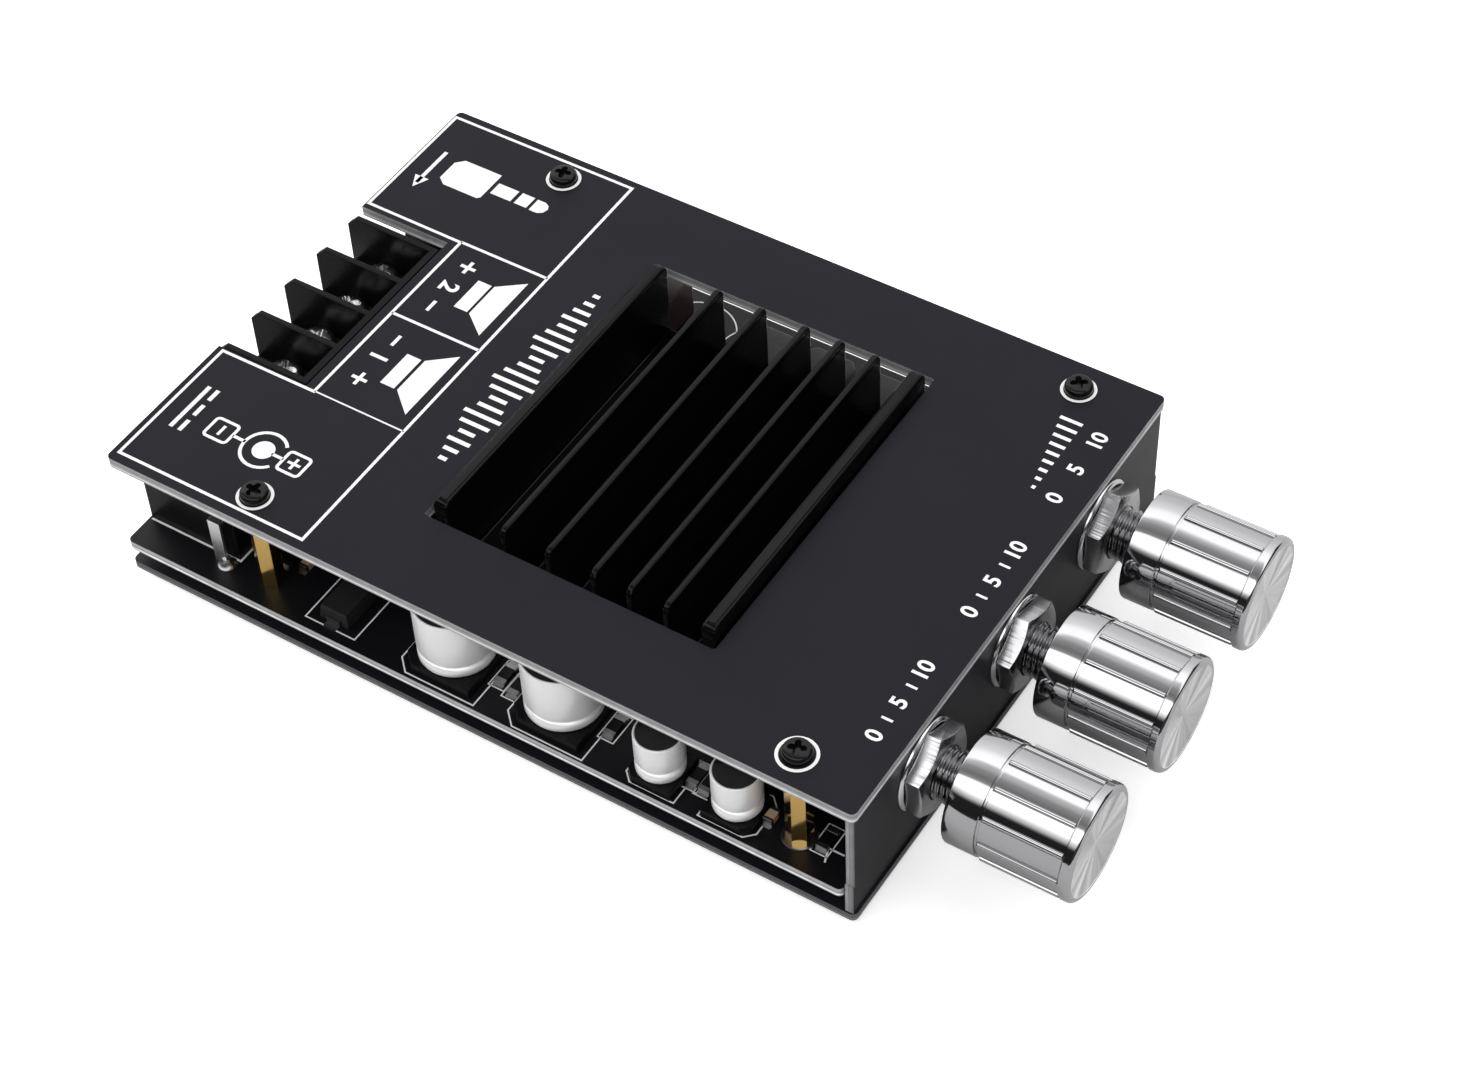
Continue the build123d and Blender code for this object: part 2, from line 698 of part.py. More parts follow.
# The three rotary controls with their fixings and knobs
for name, x, nut_turn in zip(control_names, control_places, nut_turns):
    turning_axis = Axis((x, panel_face, control_axis), (0, -1, 0))

    # Body: two cells with a wafer behind each of them
    with BuildPart() as control_body:
        for cell in range(2):
            cell_front = cells_front + cell * cell_step
            wafer_front = cell_front + control_cell_depth
            with BuildSketch(facing_rear(x, cell_front, control_bottom + control_cell_inset)):
                Rectangle(
                    control_width - 2 * control_cell_inset,
                    control_height - 2 * control_cell_inset,
                    align=(Align.CENTER, Align.MIN),
                )
            extrude(amount=control_cell_depth)
            with BuildSketch(facing_rear(x, wafer_front, control_bottom)):
                Rectangle(
                    control_width - 2 * control_wafer_inset,
                    control_height - control_wafer_inset,
                    align=(Align.CENTER, Align.MIN),
                )
            extrude(amount=control_wafer_thickness)
        with BuildSketch(facing_rear(x, cells_front, control_axis)):
            Circle(shaft_radius + shaft_inside_clearance)
        extrude(amount=shaft_inside + shaft_inside_clearance, mode=Mode.SUBTRACT)
    save(control_body, f"{name}_control_body")

    # Front plate in one piece with its threaded bushing
    with BuildPart() as bushing:
        with BuildSketch(facing_rear(x, panel_back, control_bottom)):
            Rectangle(control_width, control_height, align=(Align.CENTER, Align.MIN))
        extrude(amount=control_plate_thickness)
        with BuildSketch(facing_rear(x, panel_back, control_axis)):
            Circle(bushing_radius)
        extrude(amount=-bushing_length)
        chamfer(bushing.edges().group_by(Axis.Y)[0], bushing_edge)
        with BuildSketch(facing_front(x, bushing_reach)):
            Circle(shaft_radius + shaft_clearance)
        extrude(amount=-(bushing_length + control_plate_thickness), mode=Mode.SUBTRACT)
    save(bushing, f"{name}_bushing")

    with BuildPart() as washer:
        with BuildSketch(facing_front(x)):
            Circle(washer_radius)
            Circle(bushing_radius + bushing_hole_clearance, mode=Mode.SUBTRACT)
        extrude(amount=washer_thickness)
    save(washer, f"{name}_washer")

    # Nut: a hexagon cut by a cone that rounds off the corners of its front face
    nut_front = washer_thickness + nut_thickness
    with BuildPart() as nut:
        with BuildSketch(facing_front(x, washer_thickness)) as hexagon:
            RegularPolygon(nut_flats / 2, 6, major_radius=False, rotation=nut_turn)
            Circle(bushing_radius + thread_clearance, mode=Mode.SUBTRACT)
        extrude(amount=nut_thickness)
        with BuildSketch(along_control(x)):
            with BuildLine():
                Polyline(
                    (washer_thickness, 0),
                    (washer_thickness, nut_flats),
                    (nut_front - nut_chamfer, nut_flats / 2 + 2 * nut_chamfer),
                    (nut_front, nut_flats / 2),
                    (nut_front, 0),
                    close=True,
                )
            make_face()
        revolve(axis=turning_axis, mode=Mode.INTERSECT)
    save(nut, f"{name}_nut")

    # Shaft, from inside the body to the end of the knob's bore
    with BuildPart() as shaft:
        with BuildSketch(facing_rear(x, cells_front + shaft_inside, control_axis)):
            Circle(shaft_radius)
        extrude(
            amount=-(shaft_inside + control_plate_thickness + panel_thickness)
            - (knob_back + knob_bore_depth - shaft_end_gap)
        )
    save(shaft, f"{name}_shaft")

    # Knob
    collar_end = knob_back + knob_collar_length
    ribs_start = collar_end + knob_groove_width
    ribs_end = knob_front - knob_chamfer - knob_ring_width
    rib_root_radius = knob_radius - knob_rib_height
    rim_radius = knob_radius - knob_chamfer
    dish_radius = rim_radius - knob_rim_width
    dish_edge = knob_front - knob_step
    with BuildPart() as knob:
        with BuildSketch(along_control(x)):
            with BuildLine():
                Polyline(
                    (knob_back, 0),
                    (knob_back, knob_collar_radius),
                    (collar_end, knob_collar_radius),
                    (collar_end, knob_groove_radius),
                    (ribs_start, knob_groove_radius),
                    (ribs_start, rib_root_radius),
                    (ribs_end, rib_root_radius),
                    (ribs_end, knob_radius),
                    (knob_front - knob_chamfer, knob_radius),
                    (knob_front, rim_radius),
                    (knob_front, dish_radius),
                    (dish_edge, dish_radius),
                    (dish_edge - knob_dish, 0),
                    close=True,
                )
            make_face()
        revolve(axis=turning_axis)
        with BuildSketch(facing_front(x, ribs_start)):
            with PolarLocations(rib_root_radius, knob_rib_count):
                Rectangle(2 * knob_rib_height, knob_rib_width)
        extrude(amount=ribs_end - ribs_start)
        with BuildSketch(facing_front(x, knob_back)):
            Circle(shaft_radius + knob_bore_clearance)
        extrude(amount=knob_bore_depth, mode=Mode.SUBTRACT)
    save(knob, f"{name}_knob")

# Solder pins of the controls, down through the main board
with BuildPart() as control_pins:
    with BuildSketch(Plane.XY.offset(control_bottom)):
        with Locations(*control_pin_places):
            Rectangle(control_pin_width, control_pin_thickness)
    extrude(amount=pin_bottom - control_bottom)
save(control_pins, "control_pins")


def save_can_bases(name, places, size, corner, cut_sides):
    """Square plastic bases, each with two cut corners towards the front or the rear."""
    with BuildPart() as bases:
        for centre, cut_side in zip(front_left(places), cut_sides):
            with BuildSketch(Plane.XY.offset(board_top)) as outline:
                with Locations(centre):
                    Rectangle(size, size)
                chamfer(outline.vertices().group_by(Axis.Y)[cut_side], corner)
            extrude(amount=can_base_height)
    save(bases, name)


def save_cans(name, places, radius, height):
    """Cans with a rolled groove near the foot and a rounded top edge."""
    foot = board_top + can_base_height
    groove_top = can_groove_height + can_groove_width
    with BuildPart() as cans:
        for x, y in front_left(places):
            with BuildSketch(Plane(origin=(x, y, foot), x_dir=(1, 0, 0), z_dir=(0, -1, 0))) as half:
                with BuildLine():
                    Polyline(
                        (0, 0),
                        (radius, 0),
                        (radius, can_groove_height),
                        (radius - can_groove_depth, (can_groove_height + groove_top) / 2),
                        (radius, groove_top),
                        (radius, height),
                        (0, height),
                        close=True,
                    )
                make_face()
                chamfer(half.vertices().group_by(Axis.Y)[-1].sort_by(Axis.X)[-1], can_edge)
            revolve(axis=Axis((x, y, foot), (0, 0, 1)))
    save(cans, name)


save_can_bases("large_can_bases", large_can_places, large_can_base, large_can_base_corner, (-1, -1))
save_can_bases("small_can_bases", small_can_places, small_can_base, small_can_base_corner, (-1, 0))
save_cans("large_cans", large_can_places, large_can_radius, large_can_height)
save_cans("small_cans", small_can_places, small_can_radius, small_can_height)

# Output inductors, pressed blocks with cut corners
heatsink_right = heatsink_left + heatsink_width
inductor_x = heatsink_right + inductor_to_heatsink + inductor_size / 2
with BuildPart() as output_inductors:
    with BuildSketch(Plane.XY.offset(board_top)) as inductor_outlines:
        with Locations(*[(inductor_x, front_edge + row) for row in inductor_rows]):
            Rectangle(inductor_size, inductor_size)
        chamfer(inductor_outlines.vertices(), inductor_corner)
    extrude(amount=inductor_height)
    chamfer(output_inductors.edges().group_by(Axis.Z)[-1], inductor_top_edge)
save(output_inductors, "output_inductors")

# Film capacitors
last_inductor = front_edge + inductor_rows[-1] + inductor_size / 2
rear_standoff = rear_edge - screw_rear_inset - standoff_flats / 2
film_pairs = (front_edge + film_front_inset, (last_inductor + rear_standoff) / 2)
film_ys = [middle + side * film_spacing / 2 for middle in film_pairs for side in (-1, 1)]
with BuildPart() as film_capacitors:
    with BuildSketch(Plane.XY.offset(board_top)) as film_outlines:
        with Locations(*[(right_edge - film_side_inset, y) for y in film_ys]):
            Rectangle(film_length, film_width)
        chamfer(film_outlines.vertices(), film_edge)
    extrude(amount=film_height)
save(film_capacitors, "film_capacitors")

# Rectifier diode, with a wide lead at each end
last_can = front_edge + large_can_places[0][1] + large_can_base / 2
diode_y = (last_can + rear_standoff) / 2 + diode_shift
diode_centre = (left_edge + diode_side_inset, diode_y)
with BuildPart() as diode:
    add_chip_body(diode_centre, diode_length, diode_width, diode_height)
    with BuildSketch(Plane.XY.offset(board_top)):
        with Locations(diode_centre):
            Rectangle(diode_length + 2 * lead_thickness, diode_lead_width)
    extrude(amount=lead_knee_height)
save(diode, "diode")

# Preamplifier chips
with BuildPart() as preamp_chips:
    for x in (-preamp_spacing / 2, preamp_spacing / 2):
        preamp_centre = (x, front_edge + preamp_front_inset)
        add_chip_body(preamp_centre, preamp_length, preamp_width, preamp_height)
        add_leads(preamp_centre, preamp_lead_count, preamp_lead_pitch, preamp_width)
save(preamp_chips, "preamp_chips")

# Voltage regulator, with narrow leads in front and a wide tab behind
regulator_x = left_edge + regulator_side_inset
regulator_y = rear_edge - regulator_rear_inset
with BuildPart() as voltage_regulator:
    add_chip_body((regulator_x, regulator_y), regulator_length, regulator_width, regulator_height)
    with BuildSketch(Plane.XY.offset(board_top)):
        with Locations((regulator_x, regulator_y)):
            Rectangle(
                regulator_tab_width,
                regulator_width / 2 + lead_reach,
                align=(Align.CENTER, Align.MIN),
            )
            with GridLocations(regulator_lead_pitch, regulator_lead_pitch, 3, 1):
                Rectangle(
                    regulator_lead_width,
                    regulator_width / 2 + lead_reach,
                    align=(Align.CENTER, Align.MAX),
                )
    extrude(amount=lead_thickness)
save(voltage_regulator, "voltage_regulator")


def save_chip_parts(name, places, size):
    """Small block shaped parts that lie on the board with their ends to the sides."""
    length, width, height = size
    with BuildPart() as blocks:
        with BuildSketch(Plane.XY.offset(board_top)):
            with Locations(*places):
                Rectangle(length, width)
        extrude(amount=height)
    save(blocks, name)


resistor_places = front_left(resistor_front_places) + rear_left(resistor_rear_places)
ceramic_places = front_left(ceramic_front_places) + rear_left(ceramic_rear_places)
save_chip_parts("chip_resistors", resistor_places, resistor_size)
save_chip_parts("chip_capacitors", ceramic_places, ceramic_size)
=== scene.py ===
import math

import bmesh
import bpy
from mathutils import Matrix, Vector


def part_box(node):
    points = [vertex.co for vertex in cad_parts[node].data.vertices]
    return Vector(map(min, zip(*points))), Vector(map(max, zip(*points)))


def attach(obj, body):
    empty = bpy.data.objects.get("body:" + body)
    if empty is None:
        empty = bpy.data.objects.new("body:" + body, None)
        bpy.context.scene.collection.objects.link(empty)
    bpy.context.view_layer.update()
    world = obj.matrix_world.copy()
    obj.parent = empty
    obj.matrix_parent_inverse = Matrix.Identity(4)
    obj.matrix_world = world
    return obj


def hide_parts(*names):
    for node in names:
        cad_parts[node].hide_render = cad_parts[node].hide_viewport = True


# Stereo audio amplifier board. Sizes are in millimetres and MM turns them into metres.
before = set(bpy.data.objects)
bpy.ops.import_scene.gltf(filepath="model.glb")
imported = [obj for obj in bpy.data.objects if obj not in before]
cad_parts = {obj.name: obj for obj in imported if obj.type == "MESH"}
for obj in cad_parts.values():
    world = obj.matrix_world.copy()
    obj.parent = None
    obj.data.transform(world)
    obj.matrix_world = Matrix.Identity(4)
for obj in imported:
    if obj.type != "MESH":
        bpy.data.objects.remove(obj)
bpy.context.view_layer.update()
scene = bpy.context.scene
MM = 0.001


def box_mm(node):
    """Lowest and highest corner of a CAD node, in millimetres."""
    low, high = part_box(node)
    return low / MM, high / MM


# Levels and edges that the pieces share
cover_low, cover_high = box_mm("cover_plate")
panel_low, panel_high = box_mm("front_panel")
cover_top = cover_high.z
board_top = box_mm("main_board")[1].z
panel_face, panel_back = panel_low.y, panel_high.y
left_edge = cover_low.x
front_edge, rear_edge = cover_low.y, cover_high.y
corner_screws = [(side * 33.7, y) for side in (-1, 1) for y in (-33.5, 45.0)]
control_names = ("treble", "bass", "volume")


# Shader effects that several finishes share


def socket_kind(value):
    """The kind of socket that holds a value: a number, a vector or a colour."""
    if isinstance(value, float):
        return "NodeSocketFloat"
    return "NodeSocketVector" if len(value) == 3 else "NodeSocketColor"


def start_effect(name, output, **inputs):
    """A node group with named sockets: the group, what it is given, and the socket it puts out."""
    group = bpy.data.node_groups.new(name, "ShaderNodeTree")
    for label, value in inputs.items():
        socket = group.interface.new_socket(label, in_out="INPUT", socket_type=socket_kind(value))
        socket.default_value = value
    output_kind = "NodeSocketColor" if output == "Colour" else "NodeSocketFloat"
    group.interface.new_socket(output, in_out="OUTPUT", socket_type=output_kind)
    given = group.nodes.new("NodeGroupInput").outputs
    return group, given, group.nodes.new("NodeGroupOutput").inputs[output]


def feed(group, socket, value):
    """Link another socket into a socket, or set its own value."""
    if isinstance(value, bpy.types.NodeSocket):
        group.links.new(value, socket)
    else:
        socket.default_value = value


def add_noise(group, scale, detail, vector=None):
    """A noise texture over the object's own coordinates, or over another vector."""
    texture = group.nodes.new("ShaderNodeTexNoise")
    texture.inputs["Detail"].default_value = detail
    if vector is None:
        vector = group.nodes.new("ShaderNodeTexCoord").outputs["Object"]
    group.links.new(vector, texture.inputs["Vector"])
    group.links.new(scale, texture.inputs["Scale"])
    return texture.outputs["Fac"]


def add_math(group, operation, first, second):
    """One sum of two sockets or numbers."""
    node = group.nodes.new("ShaderNodeMath")
    node.operation = operation
    feed(group, node.inputs[0], first)
    feed(group, node.inputs[1], second)
    return node.outputs[0]


def add_vector_math(group, operation, *values):
    """One sum of vectors, given as sockets or as three numbers."""
    node = group.nodes.new("ShaderNodeVectorMath")
    node.operation = operation
    for socket, value in zip(node.inputs, values):
        feed(group, socket, value)
    return node


def add_mix(group, kind, factor, first, second):
    """A blend of two colours or two numbers."""
    mix = group.nodes.new("ShaderNodeMix")
    mix.data_type = kind
    for label, value in (("Factor", factor), ("A", first), ("B", second)):
        feed(group, mix.inputs[label], value)
    return mix.outputs["Result"]


def add_tint(group, colour, factor):
    """A colour made lighter or darker by a factor."""
    tint = add_vector_math(group, "SCALE", colour)
    group.links.new(factor, tint.inputs["Scale"])
    return tint.outputs[0]


def add_swing(group, noise, spread, middle):
    """A value that swings with a noise by up to a spread on both sides of a middle value."""
    share = add_math(group, "MULTIPLY", add_math(group, "SUBTRACT", noise, 0.5), spread)
    return add_math(group, "ADD", add_math(group, "MULTIPLY", share, 2.0), middle)


def add_share(group, value, start, full):
    """0 before a start value, 1 beyond a full one, and a smooth change between them."""
    share = group.nodes.new("ShaderNodeMapRange")
    share.interpolation_type = "SMOOTHSTEP"
    share.inputs["From Min"].default_value = start
    share.inputs["From Max"].default_value = full
    group.links.new(value, share.inputs["Value"])
    return share.outputs["Result"]


def make_cloudy_tone():
    """A colour that drifts a little lighter and darker over the surface."""
    grey = (0.5, 0.5, 0.5, 1)
    group, given, made = start_effect("cloudy tone", "Colour", Colour=grey, Drift=0.1, Scale=100.0)
    clouds = add_noise(group, given["Scale"], 4)
    factor = add_swing(group, clouds, given["Drift"], 1.0)
    group.links.new(add_tint(group, given["Colour"], factor), made)
    return group


def make_uneven_gloss():
    """A roughness that wanders about a middle value, as handled and cleaned surfaces have."""
    group, given, made = start_effect("uneven gloss", "Roughness", Roughness=0.4, Spread=0.1, Scale=60.0)
    smears = add_noise(group, given["Scale"], 5)
    gloss = add_swing(group, smears, given["Spread"], given["Roughness"])
    group.links.new(gloss, made)
    return group


def make_fine_grain():
    """The small pits of moulded plastic, solder mask or cast metal, as a height."""
    group, given, made = start_effect("fine grain", "Height", Scale=3000.0)
    group.links.new(add_noise(group, given["Scale"], 2), made)
    return group


def make_tool_lines():
    """Fine lines left by drawing, brushing or turning: noise squeezed along the stretch vector."""
    group, given, made = start_effect("tool lines", "Height", Stretch=(1.0, 1.0, 1.0), Scale=1000.0)
    place = group.nodes.new("ShaderNodeTexCoord").outputs["Object"]
    stretched = add_vector_math(group, "MULTIPLY", place, given["Stretch"])
    lines = add_noise(group, given["Scale"], 3, stretched.outputs[0])
    group.links.new(lines, made)
    return group


def make_laminate_layers():
    """Thin glass and resin layers along a cut edge, with a paler seam at one level."""
    group, given, made = start_effect(
        "laminate layers",
        "Colour",
        Colour=(0.1, 0.1, 0.1, 1),
        Seam=(0.4, 0.4, 0.4, 1),
        Across=(0.0, 0.0, 1.0),
        Level=0.0,
        Width=0.0002,
        Scale=300.0,
    )
    place = group.nodes.new("ShaderNodeTexCoord").outputs["Object"]
    height = add_vector_math(group, "DOT_PRODUCT", place, given["Across"])
    above = add_math(group, "SUBTRACT", height.outputs["Value"], given["Level"])
    away = add_math(group, "DIVIDE", add_math(group, "ABSOLUTE", above, 0.0), given["Width"])
    patches = add_noise(group, given["Scale"], 4)
    uneven = add_math(group, "ADD", patches, 0.35)
    strength = add_math(group, "MULTIPLY", uneven, add_share(group, away, 1.0, 0.3))

    layers = group.nodes.new("ShaderNodeTexNoise")
    layers.noise_dimensions = "1D"
    layers.inputs["Scale"].default_value = 2600.0
    group.links.new(height.outputs["Value"], layers.inputs["W"])
    shade = add_math(group, "ADD", add_math(group, "MULTIPLY", layers.outputs["Fac"], 1.3), 0.35)
    plain = add_tint(group, given["Colour"], shade)
    mixed = add_mix(group, "RGBA", strength, plain, given["Seam"])
    group.links.new(mixed, made)
    return group


def make_painted_fan_highlights():
    """Painted highlights: wedges of lighter and darker tone about a piece's own middle, standing in for the
    fan of reflections that a spun face shows.
    """
    grey = (0.5, 0.5, 0.5, 1)
    group, given, made = start_effect("painted fan highlights", "Colour", Colour=grey, Contrast=0.5)
    place = group.nodes.new("ShaderNodeTexCoord").outputs["Generated"]
    from_middle = add_vector_math(group, "SUBTRACT", place, (0.5, 0.5, 0.5))
    across = add_vector_math(group, "MULTIPLY", from_middle.outputs[0], (1.0, 0.0, 1.0))
    way = add_vector_math(group, "NORMALIZE", across.outputs[0])
    wedges = group.nodes.new("ShaderNodeTexNoise")
    wedges.inputs["Scale"].default_value = 2.2
    wedges.inputs["Detail"].default_value = 5.0
    wedges.inputs["Roughness"].default_value = 0.55
    group.links.new(way.outputs[0], wedges.inputs["Vector"])
    factor = add_swing(group, wedges.outputs["Fac"], given["Contrast"], 1.0)
    group.links.new(add_tint(group, given["Colour"], factor), made)
    return group


cloudy_tone = make_cloudy_tone()
painted_fan_highlights = make_painted_fan_highlights()
uneven_gloss = make_uneven_gloss()
fine_grain = make_fine_grain()
tool_lines = make_tool_lines()
laminate_layers = make_laminate_layers()


# Finishes


def place_effect(material, group, **values):
    """One use of a shared effect in a material, with its own values."""
    node = material.node_tree.nodes.new("ShaderNodeGroup")
    node.node_tree = group
    for label, value in values.items():
        node.inputs[label].default_value = value
    return node


def make_finish(name, colour, roughness, metallic=0.0, drift=0.12, cloud=120.0, spread=0.06, shine=0.5):
    """A material with its Principled shader, a drifting tone and an uneven gloss."""
    material = bpy.data.materials.new(name)
    material.use_nodes = True
    shader = material.node_tree.nodes["Principled BSDF"]
    shader.inputs["Metallic"].default_value = metallic
    shader.inputs["Specular IOR Level"].default_value = shine
    links = material.node_tree.links
    tone = place_effect(material, cloudy_tone, Colour=(*colour, 1), Drift=drift, Scale=cloud)
    gloss = place_effect(material, uneven_gloss, Roughness=roughness, Spread=spread, Scale=cloud * 1.7)
    links.new(tone.outputs["Colour"], shader.inputs["Base Color"])
    links.new(gloss.outputs["Roughness"], shader.inputs["Roughness"])
    return material, shader


def add_bump(material, shader, height, depth):
    """Let a height effect stand out of the surface by about depth, in millimetres."""
    bump = material.node_tree.nodes.new("ShaderNodeBump")
    bump.inputs["Strength"].default_value = 1.0
    bump.inputs["Distance"].default_value = depth * MM
    material.node_tree.links.new(height.outputs["Height"], bump.inputs["Height"])
    material.node_tree.links.new(bump.outputs["Normal"], shader.inputs["Normal"])


def grained(name, colour, roughness, grain=2500.0, depth=0.004, **more):
    """A finish with fine pits, for plastic, solder mask and print."""
    material, shader = make_finish(name, colour, roughness, **more)
    add_bump(material, shader, place_effect(material, fine_grain, Scale=grain), depth)
    return material


def lined(name, colour, roughness, stretch, scale=2500.0, depth=0.003, **more):
    """A finish with fine tool lines across the stretch vector's small side."""
    material, shader = make_finish(name, colour, roughness, **more)
    lines = place_effect(material, tool_lines, Stretch=stretch, Scale=scale)
    add_bump(material, shader, lines, depth)
    return material


def metal(name, colour, roughness, stretch, scale=2500.0, depth=0.003, drift=0.12, **more):
    """Bare or plated metal with fine tool lines."""
    return lined(name, colour, roughness, stretch, scale, depth, metallic=1.0, drift=drift, **more)


def tone_from(effect, material, shader):
    """Let an effect's colour take the place of a finish's plain one."""
    tone = shader.inputs["Base Color"].links[0].from_node
    material.node_tree.links.new(effect.outputs["Colour"], tone.inputs["Colour"])


def cut_edge(name, colour, seam, across, level, width):
    """A board's cut edge: layers of one tone and a paler seam at a level across them."""
    material, shader = make_finish(name, colour, 0.5, drift=0.25, cloud=700)
    seam_place = {"Across": across, "Level": level * MM, "Width": width * MM, "Scale": 260.0}
    layers = place_effect(material, laminate_layers, Colour=(*colour, 1), Seam=(*seam, 1), **seam_place)
    tone_from(layers, material, shader)
    add_bump(material, shader, place_effect(material, fine_grain, Scale=5000), 0.02)
    return material


def make_knob_face():
    """A spun face: its anisotropic gloss spreads highlights about the middle, and a painted fan of
    highlights adds lighter and darker wedges to its colour.
    """
    grey = (0.76, 0.76, 0.77)
    material, shader = make_finish(
        "spun knob face", grey, 0.40, metallic=1.0, drift=0.04, cloud=200, spread=0.03
    )
    # Painted highlights: the fan lightens and darkens the face's colour in wedges, in place of reflections
    fan = place_effect(material, painted_fan_highlights, Colour=(*grey, 1), Contrast=0.75)
    tone_from(fan, material, shader)
    shader.inputs["Anisotropic"].default_value = 0.96
    tangent = material.node_tree.nodes.new("ShaderNodeTangent")
    tangent.direction_type = "RADIAL"
    tangent.axis = "Y"
    material.node_tree.links.new(tangent.outputs["Tangent"], shader.inputs["Tangent"])
    return material


# Stretch vectors of the tool lines, along a direction or round an axis
along_x = (0.02, 1.0, 1.0)
along_y = (1.0, 0.02, 1.0)
along_z = (1.0, 1.0, 0.02)
around_y = (0.03, 1.0, 0.03)
around_z = (0.03, 0.03, 1.0)

# Solder mask and the cut edges of the boards
cover_mask = grained(
    "satin black solder mask", (0.0062, 0.0062, 0.0104), 0.45, 1600, 0.003, drift=0.22, cloud=45, shine=0.128
)
panel_mask = grained(
    "satin black panel mask", (0.0070, 0.0070, 0.0100), 0.44, 1600, 0.003, drift=0.2, cloud=60, shine=0.30
)
board_mask = grained(
    "gloss black solder mask", (0.0045, 0.0045, 0.0060), 0.42, 1600, 0.003, drift=0.2, cloud=60, shine=0.2
)
upwards = (0.0, 0.0, 1.0)
rearwards = (0.0, 1.0, 0.0)
# The cover's pale seam lies along the top of its cut edge: a painted highlight of that edge
cover_edge = cut_edge("cover's cut edge", (0.32, 0.32, 0.325), (0.78, 0.78, 0.79), upwards, 20.7, 0.22)
board_edge = cut_edge("main board's cut edge", (0.38, 0.38, 0.385), (0.98, 0.98, 0.98), upwards, 5.25, 0.28)
base_edge = cut_edge("base plate's cut edge", (0.095, 0.095, 0.1), (0.2, 0.2, 0.21), upwards, 1.6, 0.2)
panel_edge = cut_edge("panel's cut edge", (0.17, 0.17, 0.175), (0.34, 0.34, 0.35), rearwards, -42.4, 0.3)

# Print
white_print = grained("white print", (0.84, 0.84, 0.83), 0.55, 4000, 0.006, drift=0.05, cloud=400)
grey_print = grained("thin white board print", (0.78, 0.78, 0.78), 0.6, 4000, 0.006, drift=0.2, cloud=900)
black_print = grained("black can marking", (0.01, 0.01, 0.011), 0.45, 3000)

# Black mouldings, anodised fins and black screws
gloss_anodised = lined(
    "gloss black anodised", (0.0022, 0.0022, 0.0028), 0.15, along_x, 3000, drift=0.2, shine=0.13
)
moulded_black = grained(
    "moulded black plastic", (0.005, 0.005, 0.0058), 0.30, 2600, 0.005, drift=0.2, shine=0.1
)
block_black = grained(
    "black barrier moulding", (0.004, 0.004, 0.0048), 0.26, 2600, 0.005, drift=0.3, cloud=220, shine=0.07
)
dull_black = grained("dull black moulding", (0.012, 0.012, 0.013), 0.52, 2200, 0.010, drift=0.25, shine=0.3)
black_screw = grained("black zinc screw", (0.004, 0.004, 0.0046), 0.16, drift=0.3, shine=0.2)

# Metals
hex_brass = metal("turned brass", (0.76, 0.49, 0.16), 0.12, along_z, drift=0.15)
nickel_plate = metal("bright nickel", (0.64, 0.64, 0.65), 0.17, around_y, depth=0.002, drift=0.1)
nut_nickel = metal("brushed nickel nut", (0.50, 0.50, 0.51), 0.24, along_y, 1500, 0.06, 0.4)
screw_nickel = metal("nickel screw", (0.98, 0.98, 0.97), 0.20, around_z, depth=0.0005, drift=0.1)
dark_nickel = metal("dark nickel thread", (0.26, 0.26, 0.265), 0.16, around_y, depth=0.002, drift=0.2)
clamp_nickel = metal("dark clamp plate", (0.07, 0.07, 0.073), 0.28, around_z, drift=0.3)
tinned_tab = metal("tinned socket tab", (0.97, 0.97, 0.96), 0.32, along_z, 1800, 0.01, 0.15)
tinned_copper = grained("tinned copper", (0.26, 0.26, 0.26), 0.34, 1800, 0.012, metallic=1.0, drift=0.2)
solder = grained("solder", (0.30, 0.30, 0.30), 0.30, 1500, 0.02, metallic=1.0, drift=0.3)
turned_aluminium = metal("turned aluminium shaft", (0.78, 0.78, 0.78), 0.25, around_y)
knob_side = metal(
    "turned bright knob", (0.46, 0.46, 0.47), 0.07, around_y, 4000, 0.0008, 0.03, cloud=200, spread=0.015
)
knob_face = make_knob_face()
can_side = lined("satin aluminium can", (0.92, 0.92, 0.93), 0.34, around_z, 2200, metallic=0.35, drift=0.05)

# Small parts
# Painted shade: the can tops are coloured near-black, standing in for the shade that the cover casts on them
can_top_painted_shade = grained("can top painted dark as shade", (0.028, 0.028, 0.03), 0.40, 2000, drift=0.2, shine=0.3)
pressed_ferrite = grained(
    "pressed grey ferrite", (0.075, 0.075, 0.078), 0.75, 1400, 0.03, drift=0.4, cloud=300
)
dark_film = grained("dipped dark film", (0.030, 0.012, 0.010), 0.30, 900, 0.01, drift=0.2)
tan_ceramic = grained("fired tan ceramic", (0.42, 0.30, 0.19), 0.45, depth=0.008, drift=0.3, cloud=500)
thermal_grey = grained("soft grey thermal pad", (0.36, 0.40, 0.43), 0.85, 1800, 0.02, drift=0.2)


# Ways to make a piece


def new_object(name, bm, finishes=()):
    """An object in the scene, made from a bmesh."""
    mesh = bpy.data.meshes.new(name)
    bm.to_mesh(mesh)
    bm.free()
    for finish in finishes:
        mesh.materials.append(finish)
    made = bpy.data.objects.new(name, mesh)
    scene.collection.objects.link(made)
    return made


